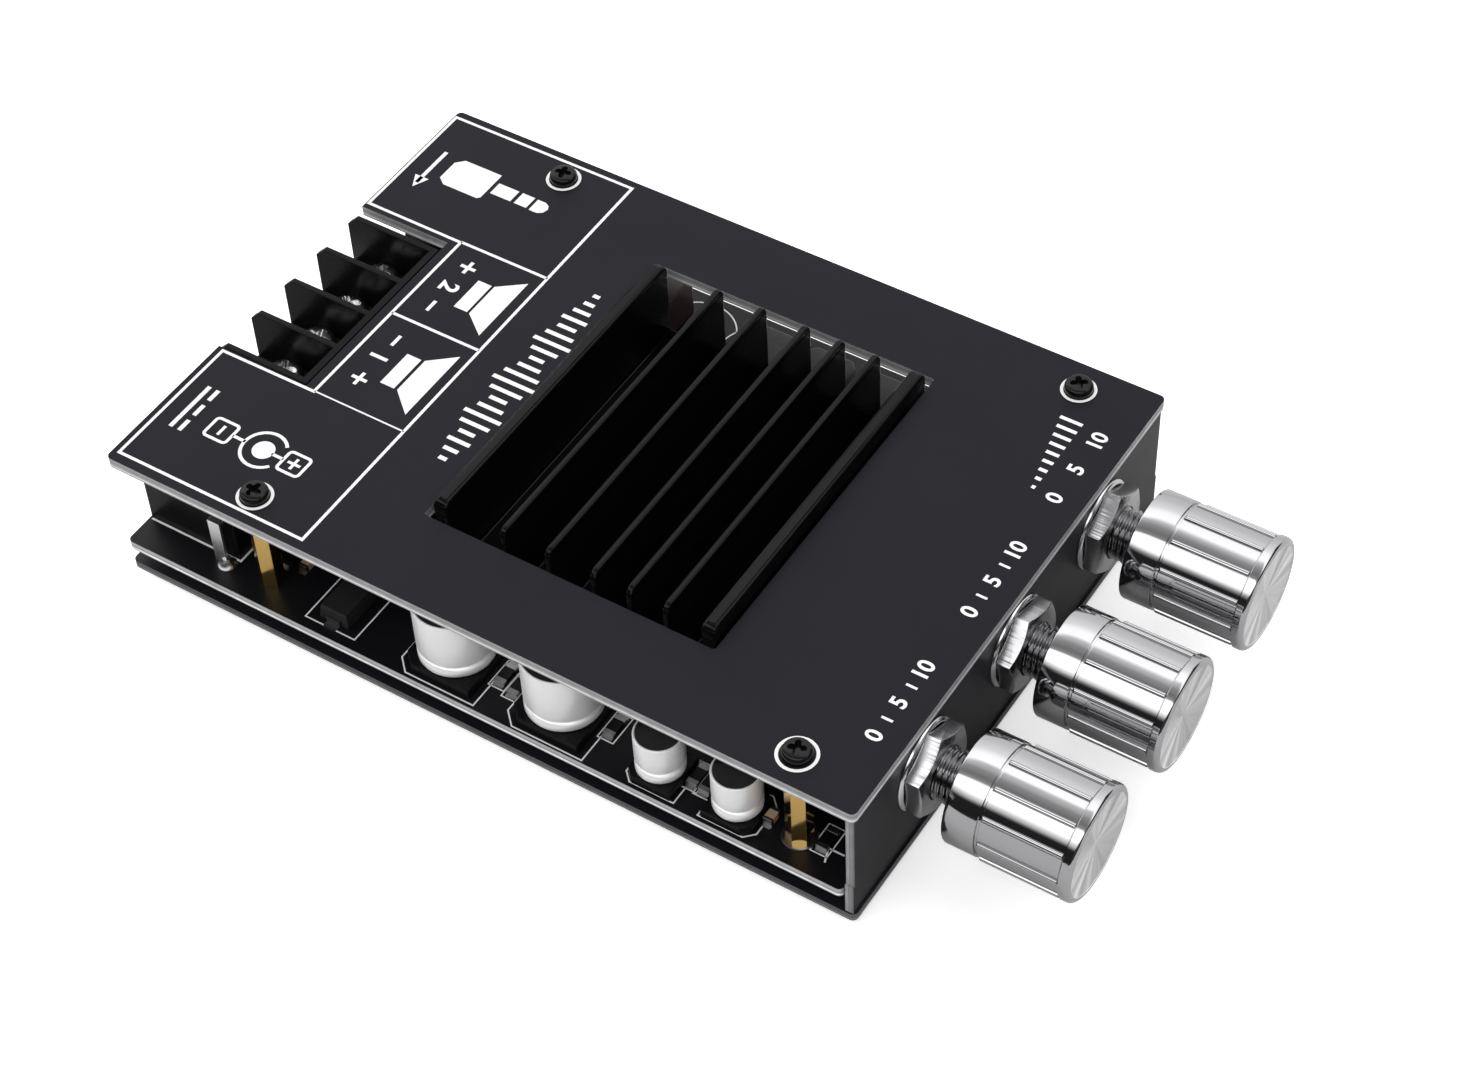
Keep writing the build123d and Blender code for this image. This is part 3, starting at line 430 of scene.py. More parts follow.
def finish_piece(name, bm, finishes, body="board", nodes=(), edge=0.0, sharp=32.0):
    """Turn a bmesh into a piece that rides on a body and stands for its CAD nodes."""
    bmesh.ops.recalc_face_normals(bm, faces=bm.faces)
    piece = new_object(name, bm, finishes)
    piece.data.shade_smooth()
    piece.data.set_sharp_from_angle(angle=math.radians(sharp))
    if edge:
        rounding = piece.modifiers.new("rounded edges", "BEVEL")
        rounding.width = edge * MM
        rounding.segments = 2
        rounding.limit_method = "ANGLE"
        rounding.angle_limit = math.radians(30)
        rounding.harden_normals = True
    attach(piece, body)
    if nodes:
        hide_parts(*nodes)


def finish_detail(node, bm, finishes, **more):
    """Turn a bmesh into the piece that stands for one CAD node."""
    finish_piece(f"{node}_detail", bm, finishes, nodes=(node,), **more)


def read_node(node):
    """A bmesh of a CAD node with its facets joined into whole flat faces."""
    bm = bmesh.new()
    bm.from_mesh(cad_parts[node].data)
    bmesh.ops.remove_doubles(bm, verts=bm.verts, dist=0.0005 * MM)
    bmesh.ops.dissolve_limit(bm, angle_limit=math.radians(0.4), verts=bm.verts, edges=bm.edges)
    return bm


def soften_node(node, finishes, edge=0.1, body="board", choose=None):
    """A node with small rounded edges, and a finish for each face that choose picks."""
    bm = read_node(node)
    bm.normal_update()
    if choose:
        for face in bm.faces:
            face.material_index = choose(face)
    finish_detail(node, bm, finishes, body=body, edge=edge)


def on_rim(axis):
    """Choose finish 1 for the cut edges of a plate whose two faces look along an axis."""
    return lambda face: 0 if abs(face.normal[axis]) > 0.7 else 1


def finish_node(node, finish):
    """Give a CAD node that stays as it is its finish."""
    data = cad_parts[node].data
    if not data.materials:
        data.materials.append(finish)
    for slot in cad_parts[node].material_slots:
        slot.material = finish


def upright_at(x, y, z, turn=0.0):
    """A matrix at a place in millimetres, turned round Z by some degrees."""
    return Matrix.Translation(Vector((x, y, z)) * MM) @ Matrix.Rotation(math.radians(turn), 4, "Z")


def add_ring(bm, where, height, radius, angles, shape=None):
    """One ring of points round the local Z axis; shape may change the radius at an angle."""
    ring = []
    for angle in angles:
        reach = radius + (shape(angle) if shape else 0.0)
        point = Vector((reach * math.cos(angle), reach * math.sin(angle), height)) * MM
        ring.append(bm.verts.new(where @ point))
    return ring


def join_rings(bm, first, second, finish=0):
    """The band of faces between two rings."""
    count = len(first)
    for n in range(count):
        after = (n + 1) % count
        face = bm.faces.new((first[n], first[after], second[after], second[n]))
        face.material_index = finish


def close_ring(bm, ring, where, height, finish=0):
    """A fan of faces from a ring to a point on its axis."""
    middle = bm.verts.new(where @ (Vector((0, 0, height)) * MM))
    for n, point in enumerate(ring):
        face = bm.faces.new((point, ring[(n + 1) % len(ring)], middle))
        face.material_index = finish


def add_turned(bm, where, profile, steps=64, finishes=None, shapes=None):
    """A turned solid from (height, radius) pairs; a radius of 0 closes an end."""
    angles = [2 * math.pi * n / steps for n in range(steps)]
    last_ring = None
    for n, (height, radius) in enumerate(profile):
        finish = finishes[n - 1] if finishes and n else 0
        if radius == 0:
            if last_ring:
                close_ring(bm, last_ring, where, height, finish)
            else:
                last_ring = height
            continue
        ring = add_ring(bm, where, height, radius, angles, shapes[n] if shapes else None)
        if isinstance(last_ring, (int, float)):
            close_ring(bm, ring, where, last_ring, finish)
        elif last_ring:
            join_rings(bm, last_ring, ring, finish)
        last_ring = ring


def arc_profile(height, radius, edge, start, end, count=4):
    """Points of a quarter round of a profile, about a middle at a height and a radius."""
    steps = [math.radians(start + (end - start) * n / count) for n in range(count + 1)]
    return [(height + edge * math.sin(a), radius + edge * math.cos(a)) for a in steps]


def add_box(bm, low, high, finish=0):
    """A plain block between two corners in millimetres."""
    corners = bmesh.ops.create_cube(bm, size=1.0)["verts"]
    centre = (Vector(low) + Vector(high)) / 2 * MM
    size = (Vector(high) - Vector(low)) * MM
    for vert in corners:
        vert.co = centre + Vector((vert.co.x * size.x, vert.co.y * size.y, vert.co.z * size.z))
    for face in {f for vert in corners for f in vert.link_faces}:
        face.material_index = finish


def add_plate(bm, corners, low, high):
    """A flat prism between two heights, from its corners in millimetres."""
    bottom = [bm.verts.new((x * MM, y * MM, low * MM)) for x, y in corners]
    top = [bm.verts.new((x * MM, y * MM, high * MM)) for x, y in corners]
    bm.faces.new(bottom)
    bm.faces.new(top)
    join_rings(bm, bottom, top)


def rectangle(x0, y0, x1, y1):
    """Corners of a rectangle."""
    return [(x0, y0), (x1, y0), (x1, y1), (x0, y1)]


def points_round(centre, radius, angles):
    """Points at a radius round a centre, at angles in degrees."""
    turns = [math.radians(angle) for angle in angles]
    return [(centre[0] + radius * math.cos(turn), centre[1] + radius * math.sin(turn)) for turn in turns]


def rounded_corners(centre, half_x, half_y, corner, count):
    """Outline of a rectangle with rounded corners, each drawn with a count of points."""
    points = []
    for sx, sy, start in ((1, 1, 0), (-1, 1, 90), (-1, -1, 180), (1, -1, 270)):
        middle = (centre[0] + sx * (half_x - corner), centre[1] + sy * (half_y - corner))
        points += points_round(middle, corner, [start + 90 * n / (count - 1) for n in range(count)])
    return points


# Boards and panel
soften_node("cover_plate", [cover_mask, cover_edge], 0.06, choose=on_rim(2))
soften_node("base_plate", [panel_mask, base_edge], 0.06, choose=on_rim(2))
soften_node("main_board", [board_mask, board_edge], 0.05, choose=on_rim(2))
soften_node("front_panel", [panel_mask, panel_edge], 0.06, choose=on_rim(1))

# Heatsink, chip and pad
soften_node("heatsink", [gloss_anodised], 0.34)
soften_node("amplifier_chip", [dull_black], 0.05)
finish_node("thermal_pad", thermal_grey)

# Barrier block with its plates
soften_node("terminal_block", [block_black], 0.18)
soften_node("terminal_plates", [clamp_nickel], 0.08)
for number in range(1, 5):
    soften_node(f"clamp_plate_{number}", [clamp_nickel], 0.1, body=f"clamp_{number}")

# Sockets
soften_node("dc_jack_housing", [moulded_black], 0.12)
soften_node("dc_jack_pin", [nickel_plate], 0.15)
soften_node("dc_jack_tabs", [tinned_tab], 0.06)
soften_node("aux_jack_housing", [moulded_black], 0.1)
soften_node("aux_jack_tabs", [tinned_copper], 0.05)
finish_node("control_pins", tinned_copper)

# Standoffs and spacers
soften_node("standoffs", [hex_brass], 0.05)
soften_node("lower_spacers", [nickel_plate], 0.1)

# Parts on the board
soften_node("output_inductors", [pressed_ferrite], 0.15)
soften_node("film_capacitors", [dark_film], 0.35)
soften_node("preamp_chips", [dull_black, tinned_copper], 0.03)


def slot_outline(length, width):
    """Corners of a slot with round ends, about its middle."""
    end = width / 2
    right = points_round((length / 2 - end, 0), end, [-90 + 36 * n for n in range(6)])
    return right + [(-x, -y) for x, y in right]


def recess_tool(height, reach, arm):
    """Two tapered slots across each other, to cut out of a head."""
    bm = bmesh.new()
    for turn in (0, 90):
        spin = Matrix.Rotation(math.radians(turn), 3, "Z")
        rings = []
        for z, share in ((0.35 * height, 0.5), (height + 0.3, 1.1)):
            corners = slot_outline(reach * share, arm * (0.6 + 0.4 * share))
            rings.append([bm.verts.new(spin @ Vector((x, y, z)) * MM) for x, y in corners])
        join_rings(bm, *rings)
        bm.faces.new(rings[0][::-1])
        bm.faces.new(rings[1])
    return new_object("recess tool", bm)


def cross_head(radius, height, edge, reach, arm):
    """A pan head with a cross recess, standing on Z = 0, as a mesh."""
    bm = bmesh.new()
    crown = height - 0.1
    profile = [(0, 0), (0, radius - 0.08), (0.08, radius), (crown - edge, radius)]
    profile += arc_profile(crown - edge, radius - edge, edge, 8, 82, 7)
    profile += [(height - 0.02, 0.5 * radius), (height, 0)]
    add_turned(bm, Matrix.Identity(4), profile, 64)
    bmesh.ops.recalc_face_normals(bm, faces=bm.faces)
    head = new_object("head blank", bm)
    recess = recess_tool(height, reach, arm)
    cut = head.modifiers.new("cut", "BOOLEAN")
    cut.operation = "DIFFERENCE"
    cut.solver = "EXACT"
    cut.use_self = True
    cut.object = recess
    cut_head = head.evaluated_get(bpy.context.evaluated_depsgraph_get())
    made = bpy.data.meshes.new_from_object(cut_head)
    bpy.data.objects.remove(head)
    bpy.data.objects.remove(recess)
    return made


def add_copy(bm, mesh, where):
    """Add a mesh's faces to a bmesh at a place."""
    before = set(bm.verts)
    bm.from_mesh(mesh)
    bmesh.ops.transform(bm, matrix=where, verts=[vert for vert in bm.verts if vert not in before])


# Corner screws above and below
corner_head = cross_head(radius=1.85, height=1.3, edge=0.6, reach=2.6, arm=0.8)
for node, level, facing, length, turns in (
    ("cover_screws", cover_top, 1, 5.6, (20, -8, 35, 12)),
    ("base_screws", 1.3, -1, 9.0, (5, 40, -20, 60)),
):
    bm = bmesh.new()
    for (x, y), turn in zip(corner_screws, turns):
        where = upright_at(x, y, level, turn)
        if facing < 0:
            where = where @ Matrix.Rotation(math.pi, 4, "X")
        add_copy(bm, corner_head, where)
        stem = [(0.0, 0), (0.0, 0.95), (-length + 0.2, 0.95), (-length, 0.75), (-length, 0)]
        add_turned(bm, where, stem, 24)
    finish_detail(node, bm, [black_screw], sharp=38)

# Clamp screws of the barrier block
head_height = 2.0
clamp_head = cross_head(radius=2.6, height=head_height, edge=1.2, reach=4.0, arm=1.0)
half_pitch, thread_radius, thread_root = 0.25, 1.5, 1.24
for number, turn in zip(range(1, 5), (25, -12, 48, 8)):
    node = f"terminal_screw_{number}"
    low, high = box_mm(node)
    middle = (low + high) / 2
    under_head = high.z - head_height
    length = under_head - low.z
    where = upright_at(middle.x, middle.y, under_head, turn)
    bm = bmesh.new()
    add_copy(bm, clamp_head, where)
    thread = [(0.0, 0), (0.0, thread_radius)]
    for n in range(1, int(length / half_pitch)):
        thread.append((-n * half_pitch, thread_root if n % 2 else thread_radius))
    thread += [(-length, 1.1), (-length, 0)]
    add_turned(bm, where, thread, 32)
    finish_detail(node, bm, [screw_nickel], body=f"screw_{number}", sharp=38)


# Controls, from the panel's face forwards


def control_frame(name):
    """A matrix on a control's axis: local Z runs forwards from the panel's face."""
    low, high = box_mm(f"{name}_knob")
    middle = (low + high) / 2
    forwards = Vector((0, -1, 0)).to_track_quat("Z", "Y").to_matrix().to_4x4()
    return upright_at(middle.x, panel_face, middle.z) @ forwards


def thread_shape(pitch, depth, height):
    """How deep a screw thread cuts at an angle, for a row at a height."""
    def cut(angle):
        turn = (height / pitch - angle / (2 * math.pi)) % 1.0
        return -depth * abs(2 * turn - 1)
    return cut


def add_bushing(bm, where, radius=3.5, bore=3.05, front=5.8, back=-1.2):
    """A threaded tube through the panel."""
    pitch, depth = 0.75, 0.38
    rows = int((front - 0.35) / (pitch / 8))
    heights = [n * pitch / 8 for n in range(rows + 1)]
    foot = [(back, bore), (back, radius - 0.2), (-0.1, radius - 0.2)]
    thread = [(height, radius) for height in heights]
    end = [(front - 0.12, radius - depth), (front, radius - 0.42), (front, bore), (back, bore)]
    cuts = [thread_shape(pitch, depth, height) for height in heights]
    shapes = [None] * len(foot) + cuts + [None] * len(end)
    add_turned(bm, where, foot + thread + end, 48, shapes=shapes)


bar_half_width = 2.7


def rib_shape(height):
    """The knob's twelve rounded bars, as a change of radius at an angle."""
    def rise(angle):
        off = abs((math.degrees(angle) + 15) % 30 - 15) / bar_half_width
        return height * (1 - off ** 2.4) ** (1 / 2.4) if off < 1 else 0.0
    return rise


def knob_angles():
    """Angles of the knob's columns, close together at the flanks of the bars."""
    one_side = [bar_half_width * share for share in (0.3, 0.55, 0.75, 0.88, 0.96, 1.0, 1.06)]
    one_side += [4.3, 5.6, 7.5, 10.0, 12.5]
    offsets = [-offset for offset in reversed(one_side)] + [0.0] + one_side
    return [math.radians(bar * 30 + offset) for bar in range(12) for offset in offsets]


knob_foot, bore_radius = 6.4, 3.02


def knob_rows():
    """The knob's outside from its foot to its face: height, radius, rise of the bars, finish."""
    collar, groove, root, ring = 7.3, 7.0, 7.14, 7.5
    smooth = [(knob_foot, bore_radius), (knob_foot, collar - 0.22), (6.46, collar - 0.07)]
    smooth += [(6.6, collar), (8.5, collar), (10.5, collar), (10.64, collar - 0.05)]
    smooth += [(10.7, groove), (10.95, groove), (11.0, root - 0.03), (11.06, root)]
    bars = [(11.1, 0.15), (11.18, 0.28), (11.3, 0.36), (16, 0.36), (21.3, 0.36), (21.5, 0.36)]
    end = [(21.52, root - 0.05), (21.64, root - 0.05)]
    end += [(21.66, ring - 0.06), (21.74, ring), (22.1, ring)]
    end += arc_profile(22.42, 6.82, 0.68, 0, 84, 9) + [(23.1, 6.74), (23.08, 6.66)]
    face = [(23.0, 6.62), (22.98, 6.56), (22.96, 6.2), (22.84, 4.2), (22.7, 1.8)]
    rows = [(height, radius, 0, 0) for height, radius in smooth]
    rows += [(height, root, rise, 0) for height, rise in bars]
    rows += [(height, radius, 0, 0) for height, radius in end]
    return rows + [(height, radius, 0, 1) for height, radius in face]


def add_knob(bm, where):
    """A knob: smooth collar, groove, bars, plain ring, rounded end, rim and spun face."""
    bars_turn, face_middle, bore_end = -2.0, 22.6, 17.4
    angles = knob_angles()
    where = where @ Matrix.Rotation(math.radians(bars_turn), 4, "Z")
    last = None
    for height, radius, rise, finish in knob_rows():
        ring = add_ring(bm, where, height, radius, angles, rib_shape(rise) if rise else None)
        if last:
            join_rings(bm, last, ring, finish)
        last = ring
    close_ring(bm, last, where, face_middle, 1)
    add_turned(bm, where, [(knob_foot, bore_radius), (bore_end, bore_radius), (bore_end, 0)], 48)


front_plate_thickness = 1.2
for name in control_names:
    where = control_frame(name)
    soften_node(f"{name}_control_body", [dull_black], 0.08)
    soften_node(f"{name}_nut", [nut_nickel], 0.11)

    # Front plate behind the panel, and the threaded bushing
    bm = bmesh.new()
    low, high = box_mm(f"{name}_bushing")
    add_box(bm, (low.x, panel_back, low.z), (high.x, panel_back + front_plate_thickness, high.z))
    add_bushing(bm, where)
    finish_detail(f"{name}_bushing", bm, [dark_nickel], sharp=60)

    # Washer, pressed a little hollow; the dark nickel on its front face and bore is painted shade in the gap
    # between its rim and the nut
    bm = bmesh.new()
    washer = [(0.0, 3.6), (0.0, 6.05), (0.06, 6.15), (0.2, 6.15), (0.36, 6.07), (0.5, 5.93), (0.6, 5.74)]
    washer += [(0.58, 5.62), (0.46, 5.52), (0.42, 5.4), (0.42, 3.6), (0.0, 3.6)]
    add_turned(bm, where, washer, 96, [0] * 7 + [1] * 4)
    finish_detail(f"{name}_washer", bm, [nickel_plate, dark_nickel])

    finish_node(f"{name}_shaft", turned_aluminium)
    bm = bmesh.new()
    add_knob(bm, where)
    finish_detail(f"{name}_knob", bm, [knob_side, knob_face], body=f"{name}_knob", sharp=28)


# Electrolytic cans
can_foot = board_top + 1.4
top_edge = 0.3


def add_can(bm, x, y, radius, height):
    """A drawn can: bulged foot, rolled groove, straight side and rounded shoulder."""
    where = upright_at(x, y, can_foot)
    groove_low, groove_high = 1.3, 2.0
    middle = (groove_low + groove_high) / 2
    shoulder = 0.22
    side = [(0.0, 0), (0.0, radius - 0.35), (0.08, radius - 0.12), (0.3, radius)]
    side += [(groove_low - 0.2, radius), (groove_low - 0.02, radius - 0.08)]
    side += [(middle - 0.16, radius - 0.36), (middle + 0.16, radius - 0.36)]
    side += [(groove_high + 0.02, radius - 0.08), (groove_high + 0.25, radius)]
    side += [(height * 0.6, radius), (height - shoulder, radius)]
    side += arc_profile(height - shoulder, radius - shoulder, shoulder, 15, 90, 5)
    top = [(height - 0.02, radius - top_edge), (height - 0.02, 0)]
    add_turned(bm, where, side + top, 72, [0] * len(side) + [1])


def add_can_marking(bm, x, y, radius, top, turn):
    """The dark segment printed on a can's top, on its negative side."""
    share, steps = 0.3, 24
    half = math.degrees(math.acos(1 - 2 * share))
    edge = [turn + half * (2 * n / steps - 1) for n in range(steps + 1)]
    add_plate(bm, points_round((x, y), radius, edge), top - 0.03, top + 0.012)


large_cans = ((-31.7, 17.3), (-31.9, 1.1))
small_cans = ((-34.1, -14.3), (-34.1, -25.2))
for node, places, radius, height, marking_turn in (
    ("large_cans", large_cans, 5.05, 9.3, 90),
    ("small_cans", small_cans, 3.15, 6.3, 40),
):
    bm = bmesh.new()
    for x, y in places:
        add_can(bm, x, y, radius, height)
    # The tops take the near-black finish as painted shade under the cover
    finish_detail(node, bm, [can_side, can_top_painted_shade], sharp=50)
    bm = bmesh.new()
    for x, y in places:
        add_can_marking(bm, x, y, radius - top_edge, can_foot + height, marking_turn)
    finish_piece(f"{node}_marking", bm, [black_print])
soften_node("large_can_bases", [moulded_black], 0.12)
soften_node("small_can_bases", [moulded_black], 0.1)


# Small parts with metal ends


def add_chip_part(bm, x, y, length, width, height):
    """A chip resistor or capacitor: a body between two plated ends."""
    end = 0.22 * length
    reach, half = length / 2 - end * 0.8, width / 2 - 0.03
    add_box(bm, (x - reach, y - half, board_top), (x + reach, y + half, board_top + height - 0.03))
    for side in (-1, 1):
        outer = x + side * length / 2
        inner = outer - side * end
        low = (min(outer, inner), y - width / 2, board_top)
        high = (max(outer, inner), y + width / 2, board_top + height)
        add_box(bm, low, high, 1)


def near_edges(places, rear=False):
    """Places measured in from the left edge and from the front or the rear edge."""
    return [(left_edge + x, rear_edge - y if rear else front_edge + y) for x, y in places]


resistors = near_edges([(6.5, 53.9), (5.8, 51.5), (6.6, 37.8), (5.5, 25.1), (5.3, 23.2), (5.4, 6.9)])
resistors += near_edges([(8.3, 20.4)], rear=True)
capacitors = near_edges([(4.6, 14.2), (20.0, 14.5), (26.0, 14.5), (44.0, 14.5), (50.0, 14.5)])
capacitors += near_edges([(8.2, 23.0), (30.0, 33.0), (46.0, 33.0)], rear=True)
for node, places, size, finish in (
    ("chip_resistors", resistors, (3.2, 1.6, 0.6), moulded_black),
    ("chip_capacitors", capacitors, (2.0, 1.3, 1.2), tan_ceramic),
):
    bm = bmesh.new()
    for x, y in places:
        add_chip_part(bm, x, y, *size)
    finish_detail(node, bm, [finish, tinned_copper], edge=0.06)


def near_board(height):
    """Choose finish 1 for the faces that lie within a height of the board, as leads do."""
    return lambda face: 1 if face.calc_center_median().z < (board_top + height) * MM else 0


soften_node("diode", [dull_black, tinned_copper], 0.08, choose=near_board(0.5))
soften_node("voltage_regulator", [dull_black, tinned_copper], 0.05, choose=near_board(0.3))


# Print


def offset_points(points, distance, closed):
    """The points of a line moved sideways by a distance, with mitred corners."""
    moved = []
    count = len(points)
    for n, point in enumerate(points):
        here = Vector(point)
        ways = []
        if n or closed:
            ways.append((here - Vector(points[n - 1])).normalized())
        if n < count - 1 or closed:
            ways.append((Vector(points[(n + 1) % count]) - here).normalized())
        normals = [Vector((-way.y, way.x)) for way in ways]
        normal = sum(normals, Vector((0, 0))).normalized()
        reach = distance / max(0.3, normal.dot(normals[0]))
        moved.append(here + normal * reach)
    return moved


class Print:
    """Flat print on a surface, gathered into one piece."""

    def __init__(self, level, thickness=0.025):
        self.bm = bmesh.new()
        self.low = level - 0.02
        self.high = level + thickness

    def area(self, corners):
        """A filled shape."""
        add_plate(self.bm, corners, self.low, self.high)

    def band(self, inner, outer, closed):
        """A strip between two lines of points."""
        edges = ((inner, self.low), (outer, self.low), (outer, self.high), (inner, self.high))
        rows = [[self.bm.verts.new((p[0] * MM, p[1] * MM, z * MM)) for p in line] for line, z in edges]
        count = len(inner)
        for n in range(count if closed else count - 1):
            after = (n + 1) % count
            for row in range(4):
                across = (row + 1) % 4
                self.bm.faces.new((rows[row][n], rows[row][after], rows[across][after], rows[across][n]))
        if not closed:
            self.bm.faces.new([row[0] for row in rows])
            self.bm.faces.new([row[-1] for row in rows])

    def line(self, points, width=0.42, closed=False):
        """A line of even width."""
        sides = [offset_points(points, side * width / 2, closed) for side in (1, -1)]
        self.band(*sides, closed)

    def ring(self, centre, inner, outer, start=0.0, end=360.0):
        """A ring, or a part of one from a start to an end in degrees."""
        closed = end - start >= 360
        count = max(12, int((end - start) / 6))
        steps = count if closed else count + 1
        angles = [start + (end - start) * n / count for n in range(steps)]
        self.band(points_round(centre, inner, angles), points_round(centre, outer, angles), closed)

    def disc(self, centre, radius):
        """A filled circle."""
        self.area(points_round(centre, radius, range(0, 360, 8)))

    def plus(self, centre, arm, width):
        """A plus sign: the corners of one notch, turned to all four."""
        half = width / 2
        notch = [(-arm, -half), (-half, -half), (-half, -arm)]
        points = []
        for _ in range(4):
            points += notch
            notch = [(-y, x) for x, y in notch]
        self.area([(centre[0] + x, centre[1] + y) for x, y in points])

    def bar(self, centre, length, width, upright=False):
        """A straight bar along X, or upright along Y."""
        x, y = centre
        dx, dy = (width / 2, length / 2) if upright else (length / 2, width / 2)
        self.area(rectangle(x - dx, y - dy, x + dx, y + dy))

    def rounded_frame(self, centre, half_x, half_y, corner, width):
        """The outline of a rectangle with rounded corners."""
        self.line(rounded_corners(centre, half_x, half_y, corner, 5), width, True)

    def number(self, text, x, y, height, turn=0.0):
        """A number with its middle at a place."""
        curve = bpy.data.curves.new("number", "FONT")
        curve.body = text
        curve.size = height * 1.4 * MM
        curve.align_x = "CENTER"
        curve.align_y = "CENTER"
        curve.offset = 0.035 * height * MM
        curve.extrude = (self.high - self.low) / 2 * MM
        holder = bpy.data.objects.new("number", curve)
        mesh = bpy.data.meshes.new_from_object(holder)
        add_copy(self.bm, mesh, upright_at(x, y, (self.low + self.high) / 2, turn))
        bpy.data.objects.remove(holder)

    def done(self, name, finish):
        """Turn the print into its piece."""
        finish_piece(name, self.bm, [finish], sharp=30)


# Frame round the connectors' fields, and lines between the fields
ink = Print(cover_top)
fields = [(16.5, 65.0), (36.7, 65.0), (36.7, 35.9), (-36.5, 35.5)]
fields += [(-36.5, 64.4), (-15.7, 64.4), (-15.6, 49.7), (16.4, 49.7)]
ink.line(fields, closed=True)
ink.line([(16.5, 49.7), (16.5, 35.8)])
ink.line([(1.05, 49.7), (1.05, 35.8)])
ink.line([(-15.5, 49.7), (-15.5, 35.6)], 0.22)

# Speaker pictograms, each a box and its cone, with numbers and signs
ink.area(rectangle(6.05, 41.3, 11.65, 43.4))
ink.area([(11.7, 40.9), (14.4, 37.4), (3.3, 37.4), (6.0, 40.9)])
ink.area(rectangle(-10.0, 41.2, -4.1, 43.4))
ink.area([(-4.0, 40.7), (-1.1, 37.2), (-13.0, 37.2), (-10.0, 40.7)])
ink.plus((12.9, 46.0), 1.15, 0.5)
ink.number("2", 8.7, 46.2, 2.6, 180)
ink.bar((4.65, 46.0), 2.0, 0.5)
ink.bar((-2.9, 46.1), 2.0, 0.5)
ink.number("1", -6.4, 46.4, 2.6, 180)
ink.plus((-10.8, 46.1), 1.15, 0.5)

# Polarity of the power socket
hub = (-27.0, 48.9)
ink.disc(hub, 1.5)
ink.ring(hub, 2.75, 3.2, -52, 232)
ink.line([(-27.0, 51.8), (-27.0, 53.8)], 0.45)
ink.line([(-27.0, 47.6), (-27.0, 45.8)], 0.45)
ink.rounded_frame((-27.0, 55.6), 1.65, 1.75, 0.5, 0.42)
ink.bar((-27.0, 55.6), 1.7, 0.42)
ink.rounded_frame((-27.0, 44.1), 1.65, 1.65, 0.5, 0.42)
ink.plus((-27.0, 44.1), 0.95, 0.4)

# Direct current sign near the power socket
ink.bar((-25.7, 61.7), 8.0, 0.6)
for x in (-28.7, -25.7, -22.7):
    ink.bar((x, 60.3), 2.0, 0.6)

# Plug pictogram and an arrow into the line input socket
plug = [(30.0, 58.6), (28.9, 59.7), (25.5, 59.7), (24.6, 58.5), (24.6, 53.0), (25.0, 52.6), (30.0, 52.6)]
ink.area(plug)
ink.area(rectangle(26.35, 48.7, 28.55, 52.0))
ink.area(rectangle(26.35, 46.1, 28.55, 48.1))
tip = [(26.25, 45.6), (26.25, 44.3), (26.7, 43.6), (27.5, 43.35), (28.1, 43.6), (28.5, 44.3), (28.5, 45.6)]
ink.area(tip)
ink.bar((26.6, 61.9), 7.0, 0.55)
ink.area([(22.2, 61.9), (24.4, 60.8), (24.4, 63.0)])

# White rings round the cover screws
for place, inner, outer in zip(corner_screws, (2.2, 1.98, 1.94, 1.98), (2.62, 2.4, 2.34, 2.4)):
    ink.ring(place, inner, outer)

# A plain row of level bars in front of the terminals
levels = (1.2, 2.2, 3.4, 2.4, 4.4, 5.6, 3.8, 2.6, 4.8, 6.4, 5.2)
levels += (3.4, 2.2, 4.0, 5.6, 4.2, 2.8, 3.8, 2.6, 1.6, 1.0)
level_step, level_width = 1.68, 0.62
for n, level in enumerate(levels):
    ink.bar((-16.7 + n * level_step, 28.7 - 0.02 * n), level, level_width, upright=True)

# Dial scales beside the controls, and a ramp of bars for the volume
digit_height, ramp_step, ramp_foot = 2.1, 1.52, -36.9
for x, y, step in ((-26.9, -39.7, 5.6), (-5.2, -39.9, 5.6), (15.9, -39.8, 5.5)):
    for n, text in enumerate(("0", "5", "10")):
        ink.number(text, x + n * step, y, digit_height)
for x, y in ((-24.1, -39.7), (-18.5, -39.7), (-2.4, -39.9), (3.2, -39.9)):
    ink.bar((x, y), 1.5, 0.34, upright=True)
for n in range(9):
    rise = 0.5 + n * 0.33
    ink.bar((16.2 + n * ramp_step, ramp_foot + rise / 2), rise, 0.52, upright=True)
ink.done("cover_print", white_print)

# Thin print on the main board
marks = Print(board_top, 0.02)


def outline_part(x0, y0, x1, y1, cut, cut_front):
    """A thin outline round a part, with two cut corners at its front or its rear."""
    near, far, inward = (y0, y1, cut) if cut_front else (y1, y0, -cut)
    points = [(x0, far), (x0, near + inward), (x0 + cut, near)]
    points += [(x1 - cut, near), (x1, near + inward), (x1, far)]
    marks.line(points, 0.2, True)


